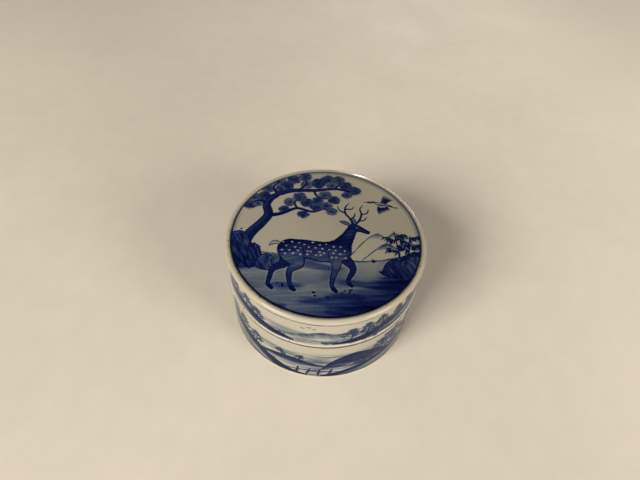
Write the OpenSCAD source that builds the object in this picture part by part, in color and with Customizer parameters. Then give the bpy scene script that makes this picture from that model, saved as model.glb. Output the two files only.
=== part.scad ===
// Round porcelain trinket box with a lift-off lid.
// Millimetres. The origin is the centre of the foot, on the table. +Z is up, along the axis of the pot.
// Both pieces are turned: a flat profile of squares and circles, swept once round the axis.

/* [Outside] */
// Diameter of the walls of the box and of the lid
outside_d = 90; // [70:1:130]
// Height of the box, from the table to its seating rim
box_h = 28.5; // [22:0.5:45]
// Height of the lid, from its lip to its flat top
lid_h = 21.5; // [17:0.5:35]

/* [Porcelain] */
// Thickness of the lid's wall
lid_wall = 3; // [2.4:0.1:5]
// Thickness of the lid's top
lid_top = 4; // [2.5:0.1:6]
// Thickness of the box's floor
floor_t = 4; // [2.5:0.1:6]

/* [Flange] */
// Height of the flange above the seating rim
flange_h = 6; // [4:0.1:8]
// Thickness of the flange
flange_t = 2.2; // [1.6:0.1:4]
// Clearance between the flange and the lid's wall
flange_clearance = 0.5; // [0.3:0.05:1]

/* [Roll and bead] */
// Radius of the roll that runs round the lid's top edge
roll_r = 1.5; // [0.8:0.1:2.2]
// How far the roll stands out from the lid's wall
roll_out = 0.6; // [0.1:0.1:0.7]
// Radius of the bead that runs round the lid's lip
bead_r = 1.5; // [0.8:0.1:2.2]
// How far the bead stands out from the lid's wall
bead_out = 0.3; // [0.1:0.1:0.6]

/* [Foot] */
// Width of the ring that stands on the table
foot_w = 4.5; // [3:0.1:8]
// Depth of the recess inside the foot ring
foot_recess = 2; // [1:0.1:4]

/* [Rounded edges] */
// Radius of the outer edge of the seating rim
rim_r = 0.5; // [0.2:0.1:1.1]
// Radius of the two top edges of the flange
flange_r = 0.7; // [0.2:0.05:0.75]
// Radius of the foot ring's two edges, where they meet the table
heel_r = 0.6; // [0.2:0.1:1.4]
// Radius of the inside corner of the box and of the lid
corner_r = 5; // [2:0.5:8]
// Radius of the corner inside the foot ring
recess_r = 1; // [0.3:0.1:1]

/* [Hidden] */
$fn = 160;
// Cuts reach this far past the face that they open
past = 1;
outside_r = outside_d / 2;
total_h = box_h + lid_h;
// The lid's wall, the clearance and the flange lie side by side, flush with the inside of the box
lid_inside_r = outside_r - lid_wall;
flange_outer_r = lid_inside_r - flange_clearance;
box_inside_r = flange_outer_r - flange_t;
lid_ceiling_z = total_h - lid_top;
floor_z = foot_recess + floor_t;
flange_top_z = box_h + flange_h;
recess_outer_r = outside_r - foot_w;
roll_outer_r = outside_r + roll_out;
bead_outer_r = outside_r + bead_out;
porcelain_color = [0.87, 0.85, 0.79];

// Half of a disc's section, from the axis out to radius r
module half_section(r, z_low, z_high) {
    translate([0, z_low]) square([r, z_high - z_low]);
}

// The waste left outside a quarter circle of radius r, for an edge whose sharp corner is at [x, z].
// side_x and side_z are 1 or -1 and point from the corner into the porcelain.
module edge_waste(x, z, r, side_x, side_z) {
    translate([x, z])
        into_quadrant(side_x, side_z)
            difference() {
                translate([-past, -past]) square(r + past);
                translate([r, r]) circle(r);
            }
}

// Turns a shape drawn in the first quadrant into the quadrant that the two signs name
module into_quadrant(side_x, side_z) {
    mirror([side_x < 0 ? 1 : 0, 0])
        mirror([0, side_z < 0 ? 1 : 0])
            children();
}

// Section of a flat end at height z_end with a round of radius round_r along its edge, out to radius r.
// side_z is 1 or -1 and points from the end into the section.
module rounded_end(r, z_end, round_r, side_z) {
    z_round = z_end + side_z * round_r;
    half_section(r - round_r, min(z_end, z_round), max(z_end, z_round));
    translate([r - round_r, z_round]) circle(round_r);
}

// Section of a hollow with a rounded corner at its closed end and a mouth at its open end
module hollow_section(r, z_closed, z_mouth, round_r) {
    side_z = sign(z_mouth - z_closed);
    z_round = z_closed + side_z * round_r;
    half_section(r, min(z_round, z_mouth), max(z_round, z_mouth));
    rounded_end(r, z_closed, round_r, side_z);
}

module box_section() {
    difference() {
        union() {
            half_section(outside_r, 0, box_h);
            half_section(flange_outer_r, 0, flange_top_z);
        }
        hollow_section(box_inside_r, floor_z, flange_top_z + past, corner_r);
        hollow_section(recess_outer_r, foot_recess, -past, recess_r);
        edge_waste(outside_r, box_h, rim_r, -1, -1);
        edge_waste(flange_outer_r, flange_top_z, flange_r, -1, -1);
        edge_waste(box_inside_r, flange_top_z, flange_r, 1, -1);
        edge_waste(outside_r, 0, heel_r, -1, 1);
        edge_waste(recess_outer_r, 0, heel_r, 1, 1);
    }
}

module lid_section() {
    difference() {
        union() {
            half_section(outside_r, box_h + bead_r, total_h - roll_r);
            rounded_end(roll_outer_r, total_h, roll_r, -1);
            rounded_end(bead_outer_r, box_h, bead_r, 1);
        }
        hollow_section(lid_inside_r, lid_ceiling_z, box_h - past, corner_r);
        edge_waste(lid_inside_r, box_h, rim_r, 1, 1);
    }
}

module box() {
    color(porcelain_color) rotate_extrude() box_section();
}

module lid() {
    color(porcelain_color) rotate_extrude() lid_section();
}

box();
lid();
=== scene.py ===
"""Dresses a round porcelain trinket box: glaze layers, bare clay and cobalt painting, round its CAD frame."""

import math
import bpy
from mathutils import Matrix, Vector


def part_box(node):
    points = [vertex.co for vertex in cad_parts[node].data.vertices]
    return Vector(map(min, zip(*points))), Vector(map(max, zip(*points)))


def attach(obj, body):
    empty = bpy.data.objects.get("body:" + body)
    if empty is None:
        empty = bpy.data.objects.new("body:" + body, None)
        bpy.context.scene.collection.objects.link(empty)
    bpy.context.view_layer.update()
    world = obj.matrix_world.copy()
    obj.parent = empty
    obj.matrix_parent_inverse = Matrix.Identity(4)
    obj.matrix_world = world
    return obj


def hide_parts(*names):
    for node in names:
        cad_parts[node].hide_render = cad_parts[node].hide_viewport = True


bl_info = {
    "name": "Porcelain Trinket Box",
    "version": (1, 0, 0),
    "blender": (4, 5, 0),
    "location": "View3D > Sidebar > Porcelain",
    "description": "Builds the clay, the glaze and the brush painting of a round porcelain box with a lid",
    "category": "Object",
}

import bpy
import numpy as np
from mathutils import Matrix

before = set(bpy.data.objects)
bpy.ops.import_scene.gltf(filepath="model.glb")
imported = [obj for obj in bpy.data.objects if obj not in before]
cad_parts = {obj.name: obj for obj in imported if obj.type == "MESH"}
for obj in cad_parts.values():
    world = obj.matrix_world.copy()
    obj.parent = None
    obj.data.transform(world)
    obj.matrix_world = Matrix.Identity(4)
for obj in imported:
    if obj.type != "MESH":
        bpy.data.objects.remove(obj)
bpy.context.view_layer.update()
BOX_LOW, BOX_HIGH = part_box("box")
LID_LOW, LID_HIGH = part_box("lid")

MM = 0.001
# Steps round the painted walls, and the rows that these divide into on their own map
WALL_STEPS = 945
MAP_ROWS = 3
# Steps round the other pieces, across the painted top and along the rounds of a section
CLAY_STEPS = 288
TOP_STEPS = 308
ARC_STEPS = 10
ROLL_STEPS = 14
EDGE_STEPS = 6
HIDDEN_STEPS = 3
SHARP_ANGLE = math.radians(33)
# Points that lie closer than this are one point
TINY = 1e-6
# Height of a row of faces on the painted walls, and on the plain glaze
ROW_STEP = 0.33 * MM
PLAIN_STEP = 2 * MM
# Shares of a row on a wall's own map: the part that shows, the hidden strip above it and the side margin
MAP_SHOWN = (0.05, 0.88)
MAP_HIDDEN = (0.90, 0.95)
MAP_MARGIN = 0.01
# On the painted top's own map: its radius, how far its wall folds out, and the underside's place and radius
TOP_MAP = 0.47
TOP_FOLD = 1.02
UNDER_MAP = 0.04
UNDER_MAP_RADIUS = 0.03
# How far round its edges the glaze goes before it was wiped off, in degrees
LIP_GLAZE = 55
HEEL_GLAZE = 60
RIM_GLAZE = 50
RECESS_GLAZE = 20
# Bare strip on the inside, below the flange's top and above the lid's lip
INSIDE_BARE = 1.5 * MM
# Where the glaze ends at the foot ring: in from the wall, and up from the table
HEEL_BARE = 0.3 * MM
RECESS_BARE = 0.8 * MM
# From the middle of the roll in to the edge of the painted disc, and on to the border line
DISC_INSET = 0.05 * MM
BORDER_INSET = 1.45 * MM
# How far the hand-drawn border lies off centre towards the front, in millimetres
BORDER_SHIFT = 0.2
# From the lid's top down to the line under the roll, in millimetres
ROLL_LINE = 2.95
# Half the width of the sheet for the lid's top, in millimetres
TOP_REACH = 46
# Numbers each way on a lattice of noise
LATTICE = 64
# Softness of a brush line's edge, in millimetres
BRUSH_SOFT = 0.13
# Half the width of the table
FLOOR_REACH = 2.0
# The way in which painted light makes the table's top paler, towards the far right
FLOOR_PAINTED_LIGHT_WAY = (0.8, 0.6, 0.0)
LAMP_COLOR = (1.0, 0.965, 0.90)
# How much less blue a thin wash of cobalt lets through, which makes it greyer than a full load
WASH_BLUE = 0.5
# The fired shape of each piece is turned a little from the other's
PHASE = {"lid": 0.7, "box": 1.4}


def number_value(name, description, default, **kind):
    """A number that a user can change, with its unit or subtype."""
    return bpy.props.FloatProperty(name=name, description=description, default=default, **kind)


def length_value(name, description, default):
    """A length that a user can change, in metres."""
    return number_value(name, description, default, unit="LENGTH")


def angle_value(name, description, degrees):
    """An angle that a user can change."""
    return number_value(name, description, math.radians(degrees), subtype="ANGLE")


def color_value(name, description, default):
    """A colour that a user can change."""
    return bpy.props.FloatVectorProperty(
        name=name, description=description, default=default, subtype="COLOR", size=3, min=0, max=1)


def lamp_values(name, where, watts, degrees, height, away, width, depth):
    """The values of one lamp that a user can change."""
    label = name.title() + " lamp"
    return {
        name + "_power": number_value(label, "Power of the lamp " + where, watts, unit="POWER"),
        name + "_turn": angle_value(label + " turn", "Where the lamp stands, round from the right", degrees),
        name + "_height": angle_value(label + " height", "Angle of the lamp above the table", height),
        name + "_distance": length_value(label + " distance", "From the pot to the lamp", away),
        name + "_width": length_value(label + " width", "Level size of the lamp", width),
        name + "_depth": length_value(label + " depth", "Upright size of the lamp", depth),
    }


class PotSizes(bpy.types.PropertyGroup):
    """Sizes of the two porcelain pieces, as the frame has them."""

    outside_radius: length_value("Outside radius", "Radius of the walls of the box and of the lid",
                                 float(BOX_HIGH[0] - BOX_LOW[0]) / 2)
    seam_height: length_value("Seam height", "Height of the rim that the lid sits on", float(LID_LOW[2]))
    top_height: length_value("Top height", "Height of the lid's flat top", float(LID_HIGH[2]))
    flange_top: length_value("Flange top", "Height of the flange that keeps the lid in place",
                             float(BOX_HIGH[2]))
    lid_wall: length_value("Lid wall", "Thickness of the lid's wall", 3 * MM)
    lid_top: length_value("Lid top", "Thickness of the lid's top", 4 * MM)
    floor_thickness: length_value("Floor", "Thickness of the box's floor", 4 * MM)
    flange_thickness: length_value("Flange", "Thickness of the flange", 2.2 * MM)
    flange_clearance: length_value("Clearance", "Clearance between the flange and the lid's wall", 0.5 * MM)
    foot_width: length_value("Foot width", "Width of the ring that stands on the table", 4.5 * MM)
    foot_recess: length_value("Foot recess", "Depth of the recess inside the foot ring", 2 * MM)
    roll_radius: length_value("Roll", "Radius of the roll round the lid's top edge", 1.5 * MM)
    roll_out: length_value("Roll stands out", "How far the roll stands out from the lid's wall",
                           float(LID_HIGH[0] - BOX_HIGH[0]))
    bead_radius: length_value("Bead", "Radius of the bead round the lid's lip", 1.5 * MM)
    bead_out: length_value("Bead stands out", "How far the bead stands out from the lid's wall", 0.3 * MM)
    rim_radius: length_value("Rim", "Radius of the outer edge of the seating rim", 0.5 * MM)
    flange_radius: length_value("Flange edge", "Radius of the top edges of the flange", 0.7 * MM)
    heel_radius: length_value("Heel", "Radius of the foot ring's edges on the table", 0.35 * MM)
    corner_radius: length_value("Inside corner", "Radius of the inside corners", 5 * MM)
    recess_radius: length_value("Recess corner", "Radius of the corner inside the foot ring", 1 * MM)
    glaze_thickness: length_value("Glaze", "Thickness of the glaze layer", 0.3 * MM)


class PotFinish(bpy.types.PropertyGroup):
    """Colours of the clay, the glaze and the cobalt."""

    glaze: color_value("Glaze", "Colour of the clear glaze over white clay", (0.497, 0.463, 0.381))
    # Painted shade: the lid's flat top gets a darker copy of the glaze, which stands in for the shade on the
    # top
    top_glaze: color_value("Top glaze", "Colour of the thicker glaze on the lid's flat top",
                           (0.43, 0.394, 0.302))
    thick_glaze: color_value("Thick glaze", "White colour where the glaze gathers on the bead",
                             (0.62, 0.59, 0.51))
    cream: color_value("Thin glaze", "Warm colour where the glaze runs thin over an edge",
                       (0.57, 0.50, 0.368))
    clay: color_value("Bare clay", "Colour of the unglazed clay", (0.66, 0.58, 0.46))
    burnt: color_value("Burnt clay", "Orange flush of bare clay beside the glaze", (0.47, 0.27, 0.13))
    # Dirt and painted shade: this dark colour fills the seam between the lid and the box, where shade falls
    soil: color_value("Soiled clay", "Dirt that has settled in the seam", (0.10, 0.088, 0.06))
    cobalt: color_value("Cobalt", "What a full load of cobalt on the lid's top lets through",
                        (0.0060, 0.0152, 0.178))
    wall_cobalt: color_value("Wall cobalt", "What a full load of the greyer cobalt on the walls lets through",
                             (0.0062, 0.0160, 0.108))
    # This colour also paints shade: in the seam, round the roll and across the top
    iron: color_value("Iron", "What a full load of iron stain lets through", (0.19, 0.16, 0.115))


class PotStage(bpy.types.PropertyGroup):
    """Floor, lamps and camera."""

    floor_color: color_value("Floor", "Colour of the table", (0.885, 0.796, 0.652))
    room_color: color_value("Room", "Colour of the room's light", (0.90, 0.88, 0.84))
    room_strength: number_value("Room strength", "Strength of the room's light", 0.08)
    backdrop_color: color_value("Backdrop", "Colour of the room's pale walls behind the table",
                                (0.58, 0.52, 0.43))
    __annotations__.update(lamp_values("key", "at the left", 21.0, 228, 33, 1.5, 0.7, 0.7))
    __annotations__.update(lamp_values("fill", "at the right", 7.3, -34, 24, 1.25, 0.5, 0.5))
    __annotations__.update(lamp_values("back", "low behind the pot", 5, 100, 4.5, 1.5, 0.9, 0.12))
    __annotations__.update(lamp_values("spark", "that glints on the far rim", 30, 83, 26, 2.4, 0.06, 0.8))
    __annotations__.update(lamp_values("sheen", "that shines along the far rim", 20, 74, 30, 2.4, 1.0, 0.5))
    camera_distance: length_value("Camera distance", "From the camera to the middle of the lid's top",
                                  218.5 * MM)
    camera_elevation: angle_value("Camera elevation", "Angle of the camera above the lid's top", 48.97)
    camera_pitch: angle_value("Camera pitch", "Angle at which the camera looks down", 49.58)
    camera_yaw: angle_value("Camera yaw", "Turn of the camera to the right", -1.08)
    camera_roll: angle_value("Camera roll", "Tilt of the camera about its own line of sight", 4.03)
    focal_share: number_value("Focal share", "Focal length as a share of the picture's width", 483 / 640)


# Brush painting on flat sheets, in millimetres


def ease(low, high, value):
    """0 at low and 1 at high, with a smooth cubic between them; low may be above high."""
    t = np.clip((value - low) / (high - low), 0, 1)
    return t * t * (3 - 2 * t)


def blend_cells(cells, row, column, across, up):
    """Value between four neighbouring cells, by the shares across and up; the cells wrap at their edges."""
    rows, columns = cells.shape
    here = column % columns
    beside = (column + 1) % columns
    low = cells[row % rows, here] * (1 - across) + cells[row % rows, beside] * across
    above = (row + 1) % rows
    high = cells[above, here] * (1 - across) + cells[above, beside] * across
    return low * (1 - up) + high * up


def noise(x, y, scale_x, scale_y, seed):
    """Noise from 0 to 1: seeded random numbers on a lattice, blended with a smooth cubic."""
    lattice = np.random.default_rng(seed).random((LATTICE, LATTICE))
    u = x / scale_x
    v = y / scale_y
    column = np.floor(u).astype(int)
    row = np.floor(v).astype(int)
    return blend_cells(lattice, row, column, ease(0, 1, u - column), ease(0, 1, v - row))


def brush_curve(points, spacing, closed=False):
    """Catmull-Rom curve through rows of points, with a row about every `spacing` along x and y."""
    p = np.asarray(points, float)
    if closed:
        p = np.vstack([p[-1:], p, p[:2]])
    else:
        p = np.vstack([2 * p[0] - p[1], p, 2 * p[-1] - p[-2]])
    legs = []
    for a, b, c, d in zip(p[:-3], p[1:-2], p[2:-1], p[3:]):
        count = max(2, int(np.ceil(np.hypot(*(c - b)[:2]) / spacing)))
        t = (np.arange(count) / count)[:, None]
        bend = (2 * a - 5 * b + 4 * c - d) * t ** 2 + (3 * b - a - 3 * c + d) * t ** 3
        legs.append(0.5 * (2 * b + (c - a) * t + bend))
    if not closed:
        legs.append(p[-2][None])
    return np.vstack(legs)


def moving_mean(cells, reach):
    """Three rounds of a mean over 2 reach + 1 cells each way, which is close to a bell curve."""
    count = 2 * reach + 1
    for axis in (0, 1) * 3:
        pad = [(0, 0), (0, 0)]
        pad[axis] = (reach + 1, reach)
        total = np.cumsum(np.pad(cells, pad, mode="edge"), axis=axis)
        ahead = np.take(total, np.arange(count, total.shape[axis]), axis=axis)
        behind = np.take(total, np.arange(0, total.shape[axis] - count), axis=axis)
        cells = (ahead - behind) / count
    return cells


def limb_gap(x, y, points):
    """Signed gap to a tapering limb: distance to the curve through x, y, radius rows, less the radius."""
    gap = np.full(x.shape, np.inf)
    for place_x, place_y, radius in brush_curve(points, 0.5):
        gap = np.minimum(gap, np.hypot(x - place_x, y - place_y) - radius)
    return gap


def join_gaps(a, b, blend):
    """Smooth union of two signed gaps: their minimum, rounded off over `blend`."""
    share = np.clip(0.5 + 0.5 * (b - a) / blend, 0, 1)
    return b + (a - b) * share - blend * share * (1 - share)


def widen(points, extra):
    """The same brush line with `extra` added to its half-widths, which stay above a hair's width."""
    p = np.array(points, float)
    p[:, 2] = np.maximum(0.05, p[:, 2] + extra)
    return p


class Sheet:
    """Cobalt or iron on square cells, 0 for bare to about 1 for a full load. A wrapping sheet joins its ends.
    A landscape's heights are counted from `base`."""

    CELL = 0.1

    def __init__(self, left, right, low, high, wraps=False, base=0.0):
        self.left = left
        self.low = low
        self.base = base
        self.columns = int(round((right - left) / self.CELL))
        self.rows = int(round((high - low) / self.CELL))
        self.wraps = wraps
        self.color = np.zeros((self.rows, self.columns))

    def up(self, points):
        """Rows of x and y, with their heights counted from the base."""
        return np.asarray(points, float) + [0, self.base]

    def window(self, left, low, right, high):
        """The cells in a box, as an index and as their middles."""
        first = int(np.floor((left - self.left) / self.CELL))
        last = int(np.ceil((right - self.left) / self.CELL)) + 1
        under = int(np.floor((low - self.low) / self.CELL))
        over = int(np.ceil((high - self.low) / self.CELL)) + 1
        if not self.wraps:
            first = max(0, first)
            last = min(self.columns, last)
        columns = np.arange(first, max(first, last))
        rows = np.arange(max(0, under), max(0, under, min(self.rows, over)))
        x, y = np.meshgrid(self.left + (columns + 0.5) * self.CELL, self.low + (rows + 0.5) * self.CELL)
        return np.ix_(rows, columns % self.columns), x, y

    def around(self, points, margin):
        """The cells in the box that holds rows of points, with a margin."""
        return self.window(*(points[:, :2].min(axis=0) - margin), *(points[:, :2].max(axis=0) + margin))

    def coat(self, place, cover, tone, how):
        """Lays colour: ink keeps the darker, wash adds up, over hides what is behind, lift wipes off."""
        under = self.color[place]
        if how == "ink":
            self.color[place] = np.maximum(under, cover * tone)
        elif how == "wash":
            self.color[place] = under + cover * tone * (1 - np.clip(under, 0, 1))
        elif how == "over":
            self.color[place] = under + (tone - under) * cover
        elif how == "lift":
            self.color[place] = under * (1 - cover * tone)
        else:
            raise ValueError(f"no such way of laying colour: {how}")

    def stroke(self, points, tone, how="ink", soft=BRUSH_SOFT):
        """A brush line through rows of x, y and half-width, laid in short runs."""
        line = brush_curve(points, 0.15)
        run = 28
        for start in range(0, len(line), run):
            part = line[start:start + run + 1]
            place, x, y = self.around(part, part[:, 2].max() + 2 * soft)
            if x.size:
                away = np.hypot(x[..., None] - part[:, 0], y[..., None] - part[:, 1]) - part[:, 2]
                self.coat(place, ease(soft, -soft, away.min(axis=-1)), tone, how)

    def area(self, outline, soft):
        """The cells in and near a closed outline, and how far each is covered."""
        place, x, y = self.around(outline, 4 * soft)
        inside = np.zeros(x.shape, bool)
        for (ax, ay), (bx, by) in zip(outline, np.roll(outline, -1, axis=0)):
            if ay != by:
                level = (y >= min(ay, by)) & (y < max(ay, by))
                inside ^= level & (x < ax + (y - ay) * (bx - ax) / (by - ay))
        reach = max(1, int(round(soft / self.CELL / 1.7)))
        return place, x, y, moving_mean(inside.astype(float), reach)

    def shape(self, points, tone):
        """A closed curve through points, filled with a tone that is a function of x and y."""
        place, x, y, cover = self.area(brush_curve(points, 0.4, closed=True)[:, :2], BRUSH_SOFT)
        self.coat(place, cover, tone(x, y), "over")

    def pool(self, load, squeeze):
        """Thickens the colour, lets it gather at the edges of each patch as wet pigment does, and holds back
        the thickest."""
        around = moving_mean(self.color, 5)
        thick = np.clip(load * (self.color + 0.30 * (self.color - around)), 0, None)
        self.color = thick / (1 + squeeze * thick)

    def sample(self, x, y):
        """Colour at any places, from the four nearest cells, with the slight wander of a hand."""
        wander_x = 0.22 * (noise(x, y, 3.1, 3.1, 81) - 0.5)
        wander_y = 0.22 * (noise(x, y, 3.1, 3.1, 82) - 0.5)
        u = (x + wander_x - self.left) / self.CELL - 0.5
        v = np.clip((y + wander_y - self.low) / self.CELL - 0.5, 0, self.rows - 1.001)
        if not self.wraps:
            u = np.clip(u, 0, self.columns - 1.001)
        column = np.floor(u).astype(int)
        row = np.floor(v).astype(int)
        return blend_cells(self.color, row, column, u - column, v - row)


class Figure:
    """An animal on a sheet, drawn about its own origin and then set to its size."""

    def __init__(self, sheet, origin, size):
        self.sheet = sheet
        self.origin = origin
        self.size = size

    def scaled(self, points):
        """Rows of x, y and half-width, in the sheet's own millimetres."""
        return np.asarray(points, float) * self.size + [*self.origin, 0]

    def stroke(self, points, tone, how="ink", soft=BRUSH_SOFT):
        """A brush line."""
        self.sheet.stroke(self.scaled(points), tone, how, soft)

    def outlined(self, points, tone, line=0.2):
        """A brush line with a pale or washed core and a dark contour round it."""
        self.sheet.stroke(widen(self.scaled(points), line / 2), 0.95, "over")
        self.sheet.stroke(widen(self.scaled(points), -line / 2), tone, "over")


# Motifs


def leaf(sheet, root, tip, width, tone, bend=0.0):
    """A pointed leaf from root to tip, widest in its middle."""
    middle_x = (root[0] + tip[0]) / 2 - (tip[1] - root[1]) * bend
    middle_y = (root[1] + tip[1]) / 2 + (tip[0] - root[0]) * bend
    sheet.stroke([[*root, 0.06], [middle_x, middle_y, width / 2], [*tip, 0.03]], tone)


def tuft(sheet, x, y, size, seed):
    """A tuft of grass: seven blades that fan out from one root."""
    rng = np.random.default_rng(seed)
    for angle in np.linspace(0.7, math.pi - 0.7, 7):
        angle += 0.1 * rng.normal()
        length = size * (0.65 + 0.45 * rng.random())
        tip = (x + math.cos(angle) * length, y + math.sin(angle) * length)
        leaf(sheet, (x + 0.15 * rng.normal(), y), tip, 0.4, 0.85, 0.14 * math.cos(angle))


def dabs(sheet, x, y, count, spread, size, seed, tone=0.93):
    """Dark dabs of a brush's tip, densest in the middle: moss or pebbles."""
    rng = np.random.default_rng(seed)
    for _ in range(count):
        dab_x = x + rng.normal() * spread
        dab_y = y + rng.normal() * spread * 0.5
        radius = size * (0.75 + 0.6 * rng.random())
        sheet.stroke([[dab_x - 0.15, dab_y, radius], [dab_x + 0.2, dab_y + 0.06, radius * 0.8]], tone)


def rock(sheet, points, dark, light, seed, creases):
    """A rock: wash that is dark at its foot, a broken contour and a few creases."""
    outline = np.asarray(points, float)
    left, low = outline.min(axis=0)
    right, high = outline.max(axis=0)

    def tone(x, y):
        climb = 0.65 * (y - low) / (high - low) + 0.35 * (x - left) / (right - left)
        grain = 0.55 + 0.9 * noise(x + 0.6 * y, y - 0.4 * x, 0.7, 3.2, seed)
        return (dark + (light - dark) * np.clip(climb, 0, 1)) * grain

    sheet.shape(points, tone)
    ring = np.vstack([outline, outline[:1]])
    half_width = 0.10 + 0.22 * np.random.default_rng(seed).random(len(ring))
    sheet.stroke(np.column_stack([ring, half_width]), 0.92)
    for crease in creases:
        line = np.asarray(crease, float)
        half_width = np.linspace(0.28, 0.05, len(line))
        sheet.stroke(np.column_stack([line, half_width]), 0.82)
        sheet.stroke(np.column_stack([line + [0.5, 0], half_width * 3]), 0.25, "wash", 0.6)


def needle_wheel(sheet, x, y, radius, seed, tone):
    """A wheel of pine needles: a washed disc with a ragged edge, dark rays and a dark heart."""
    rng = np.random.default_rng(seed)
    angle = np.arange(12) * math.pi / 6 + rng.random()
    reach = radius * (0.78 + 0.26 * rng.random(12))
    ring = np.column_stack([x + np.cos(angle) * reach, y + 0.9 * np.sin(angle) * reach])
    sheet.shape(ring, lambda px, py: tone * (0.6 + 0.6 * noise(px, py, 1.7, 1.7, seed)))
    heart = np.array([x, y])
    rays = int(11 + 2.4 * radius)
    for k in range(rays):
        angle = (k + 0.5 * rng.random()) * 2 * math.pi / rays
        across = np.array([math.cos(angle), 0.92 * math.sin(angle)])
        outer = radius * (0.86 + 0.26 * rng.random())
        start = heart + across * radius * 0.15
        end = heart + across * outer
        sheet.stroke([[*start, 0.15], [*end, 0.06]], tone + 0.16 + 0.2 * rng.random())
    sheet.stroke([[x - 0.3, y, 0.34], [x + 0.3, y + 0.1, 0.30]], 0.9)


def pine(sheet):
    """An old pine that leans in from the left: boughs, wheels of needles and a scaly trunk."""
    trunk = [[-37, -12, 2.9], [-34.5, -3, 2.4], [-30.4, 4, 2.1], [-27.8, 10, 1.9], [-29.4, 17, 1.6],
             [-25.5, 23.5, 1.3], [-18, 27.2, 1.0], [-8, 28.4, 0.8], [2, 30.6, 0.55], [9.5, 29.6, 0.3]]
    boughs = [
        [[-28, 9.5, 1.2], [-22, 11.2, 0.95], [-15, 15.4, 0.7], [-7.5, 14.0, 0.5], [-1.5, 16.8, 0.25]],
        [[-29, 16.5, 0.9], [-33, 18.7, 0.6], [-36.5, 17.0, 0.3]],
        [[-25, 23.8, 0.8], [-27.7, 28.5, 0.5], [-25.5, 32.2, 0.3]],
        [[-15, 27.8, 0.6], [-12, 32.5, 0.4], [-12.7, 36, 0.25]],
        [[-8, 28.4, 0.6], [-5.7, 24.2, 0.4], [-0.5, 23.4, 0.25]],
        [[-15, 15.4, 0.6], [-16.4, 19.5, 0.4], [-13.5, 21.7, 0.25]],
        [[2, 30.6, 0.5], [4.7, 34.5, 0.35], [3.4, 37, 0.2]],
    ]
    wheels = [
        (-35.8, 20.2, 3.1), (-31.2, 22.0, 2.9), (-37.0, 15.2, 2.6), (-30.0, 27.4, 3.1), (-25.8, 32.6, 3.4),
        (-21.0, 30.4, 2.9), (-18.4, 35.0, 3.3), (-13.0, 37.4, 3.3), (-11.6, 32.4, 3.1), (-6.2, 33.8, 3.3),
        (-1.4, 36.8, 3.3), (3.8, 37.0, 3.1), (0.6, 32.8, 2.8), (7.6, 33.0, 3.3), (12.2, 30.4, 3.0),
        (8.4, 27.2, 2.6), (-2.4, 25.6, 2.9), (2.4, 22.8, 2.7), (-5.6, 21.6, 2.5),
        (-14.4, 23.0, 3.1), (-18.6, 19.2, 2.8), (-10.4, 19.4, 2.9), (-6.0, 17.0, 2.6), (-1.2, 18.6, 2.8),
        (1.6, 15.0, 2.4), (-20.8, 14.2, 2.3), (-11.6, 11.8, 2.5), (-24.0, 27.6, 2.3), (-33.6, 16.8, 2.3),
    ]
    for k, (x, y, radius) in enumerate(wheels):
        needle_wheel(sheet, x, y, 1.18 * radius, 100 + k, 0.34 + 0.09 * (k * 7 % 4))
    for bough in boughs:
        sheet.stroke(bough, 0.9)
    sheet.stroke(widen(trunk, 0.2), 0.94, "over")
    sheet.stroke(widen(trunk, -0.28), 0.6, "over", 0.2)
    shaded = np.array(trunk[:8]) + [0.8, -0.5, 0]
    sheet.stroke(shaded * [1, 1, 0.55], 0.42, "wash", 0.6)
    rng = np.random.default_rng(5)
    for x, y, radius in np.repeat(brush_curve(trunk, 0.8)[2:-18], 2, axis=0):
        scale_x = x + (1.2 * rng.random() - 0.6) * radius
        scale_y = y + rng.random() - 0.5
        size = 0.30 + 0.25 * rng.random()
        sheet.stroke([[scale_x - size, scale_y, 0.07], [scale_x, scale_y + size, 0.12],
                      [scale_x + size, scale_y, 0.07]], 0.9)


def bamboo(sheet, x, y, height, lean, seed):
    """A bamboo cane: six joints, and sprays of hanging leaves on alternate sides."""
    rng = np.random.default_rng(seed)
    joints = 6
    for k in range(joints):
        low = k / joints
        high = (k + 0.88) / joints
        root = (x + lean * low ** 1.3, y + height * low)
        end = (x + lean * high ** 1.3, y + height * high)
        sheet.stroke([[*root, 0.32 - 0.1 * low], [*end, 0.28 - 0.1 * low]], 0.8)
        side = 1 if k % 2 else -1
        for spray in range(2 if k else 0):
            hub = (root[0] + side * (0.7 + 2.4 * spray + rng.random()),
                   root[1] + 0.5 + spray + 0.8 * rng.random())
            sheet.stroke([[*root, 0.1], [*hub, 0.08]], 0.8)
            for fan in (-1.0, -0.3, 0.4, 1.1):
                angle = -math.pi / 2 + side * 0.55 + fan * 0.6 + 0.15 * rng.normal()
                length = 2.4 + 1.9 * rng.random()
                tip = (hub[0] + math.cos(angle) * length, hub[1] + math.sin(angle) * length)
                leaf(sheet, hub, tip, 0.8, 0.78 + 0.2 * rng.random(), 0.12 * fan)


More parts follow.
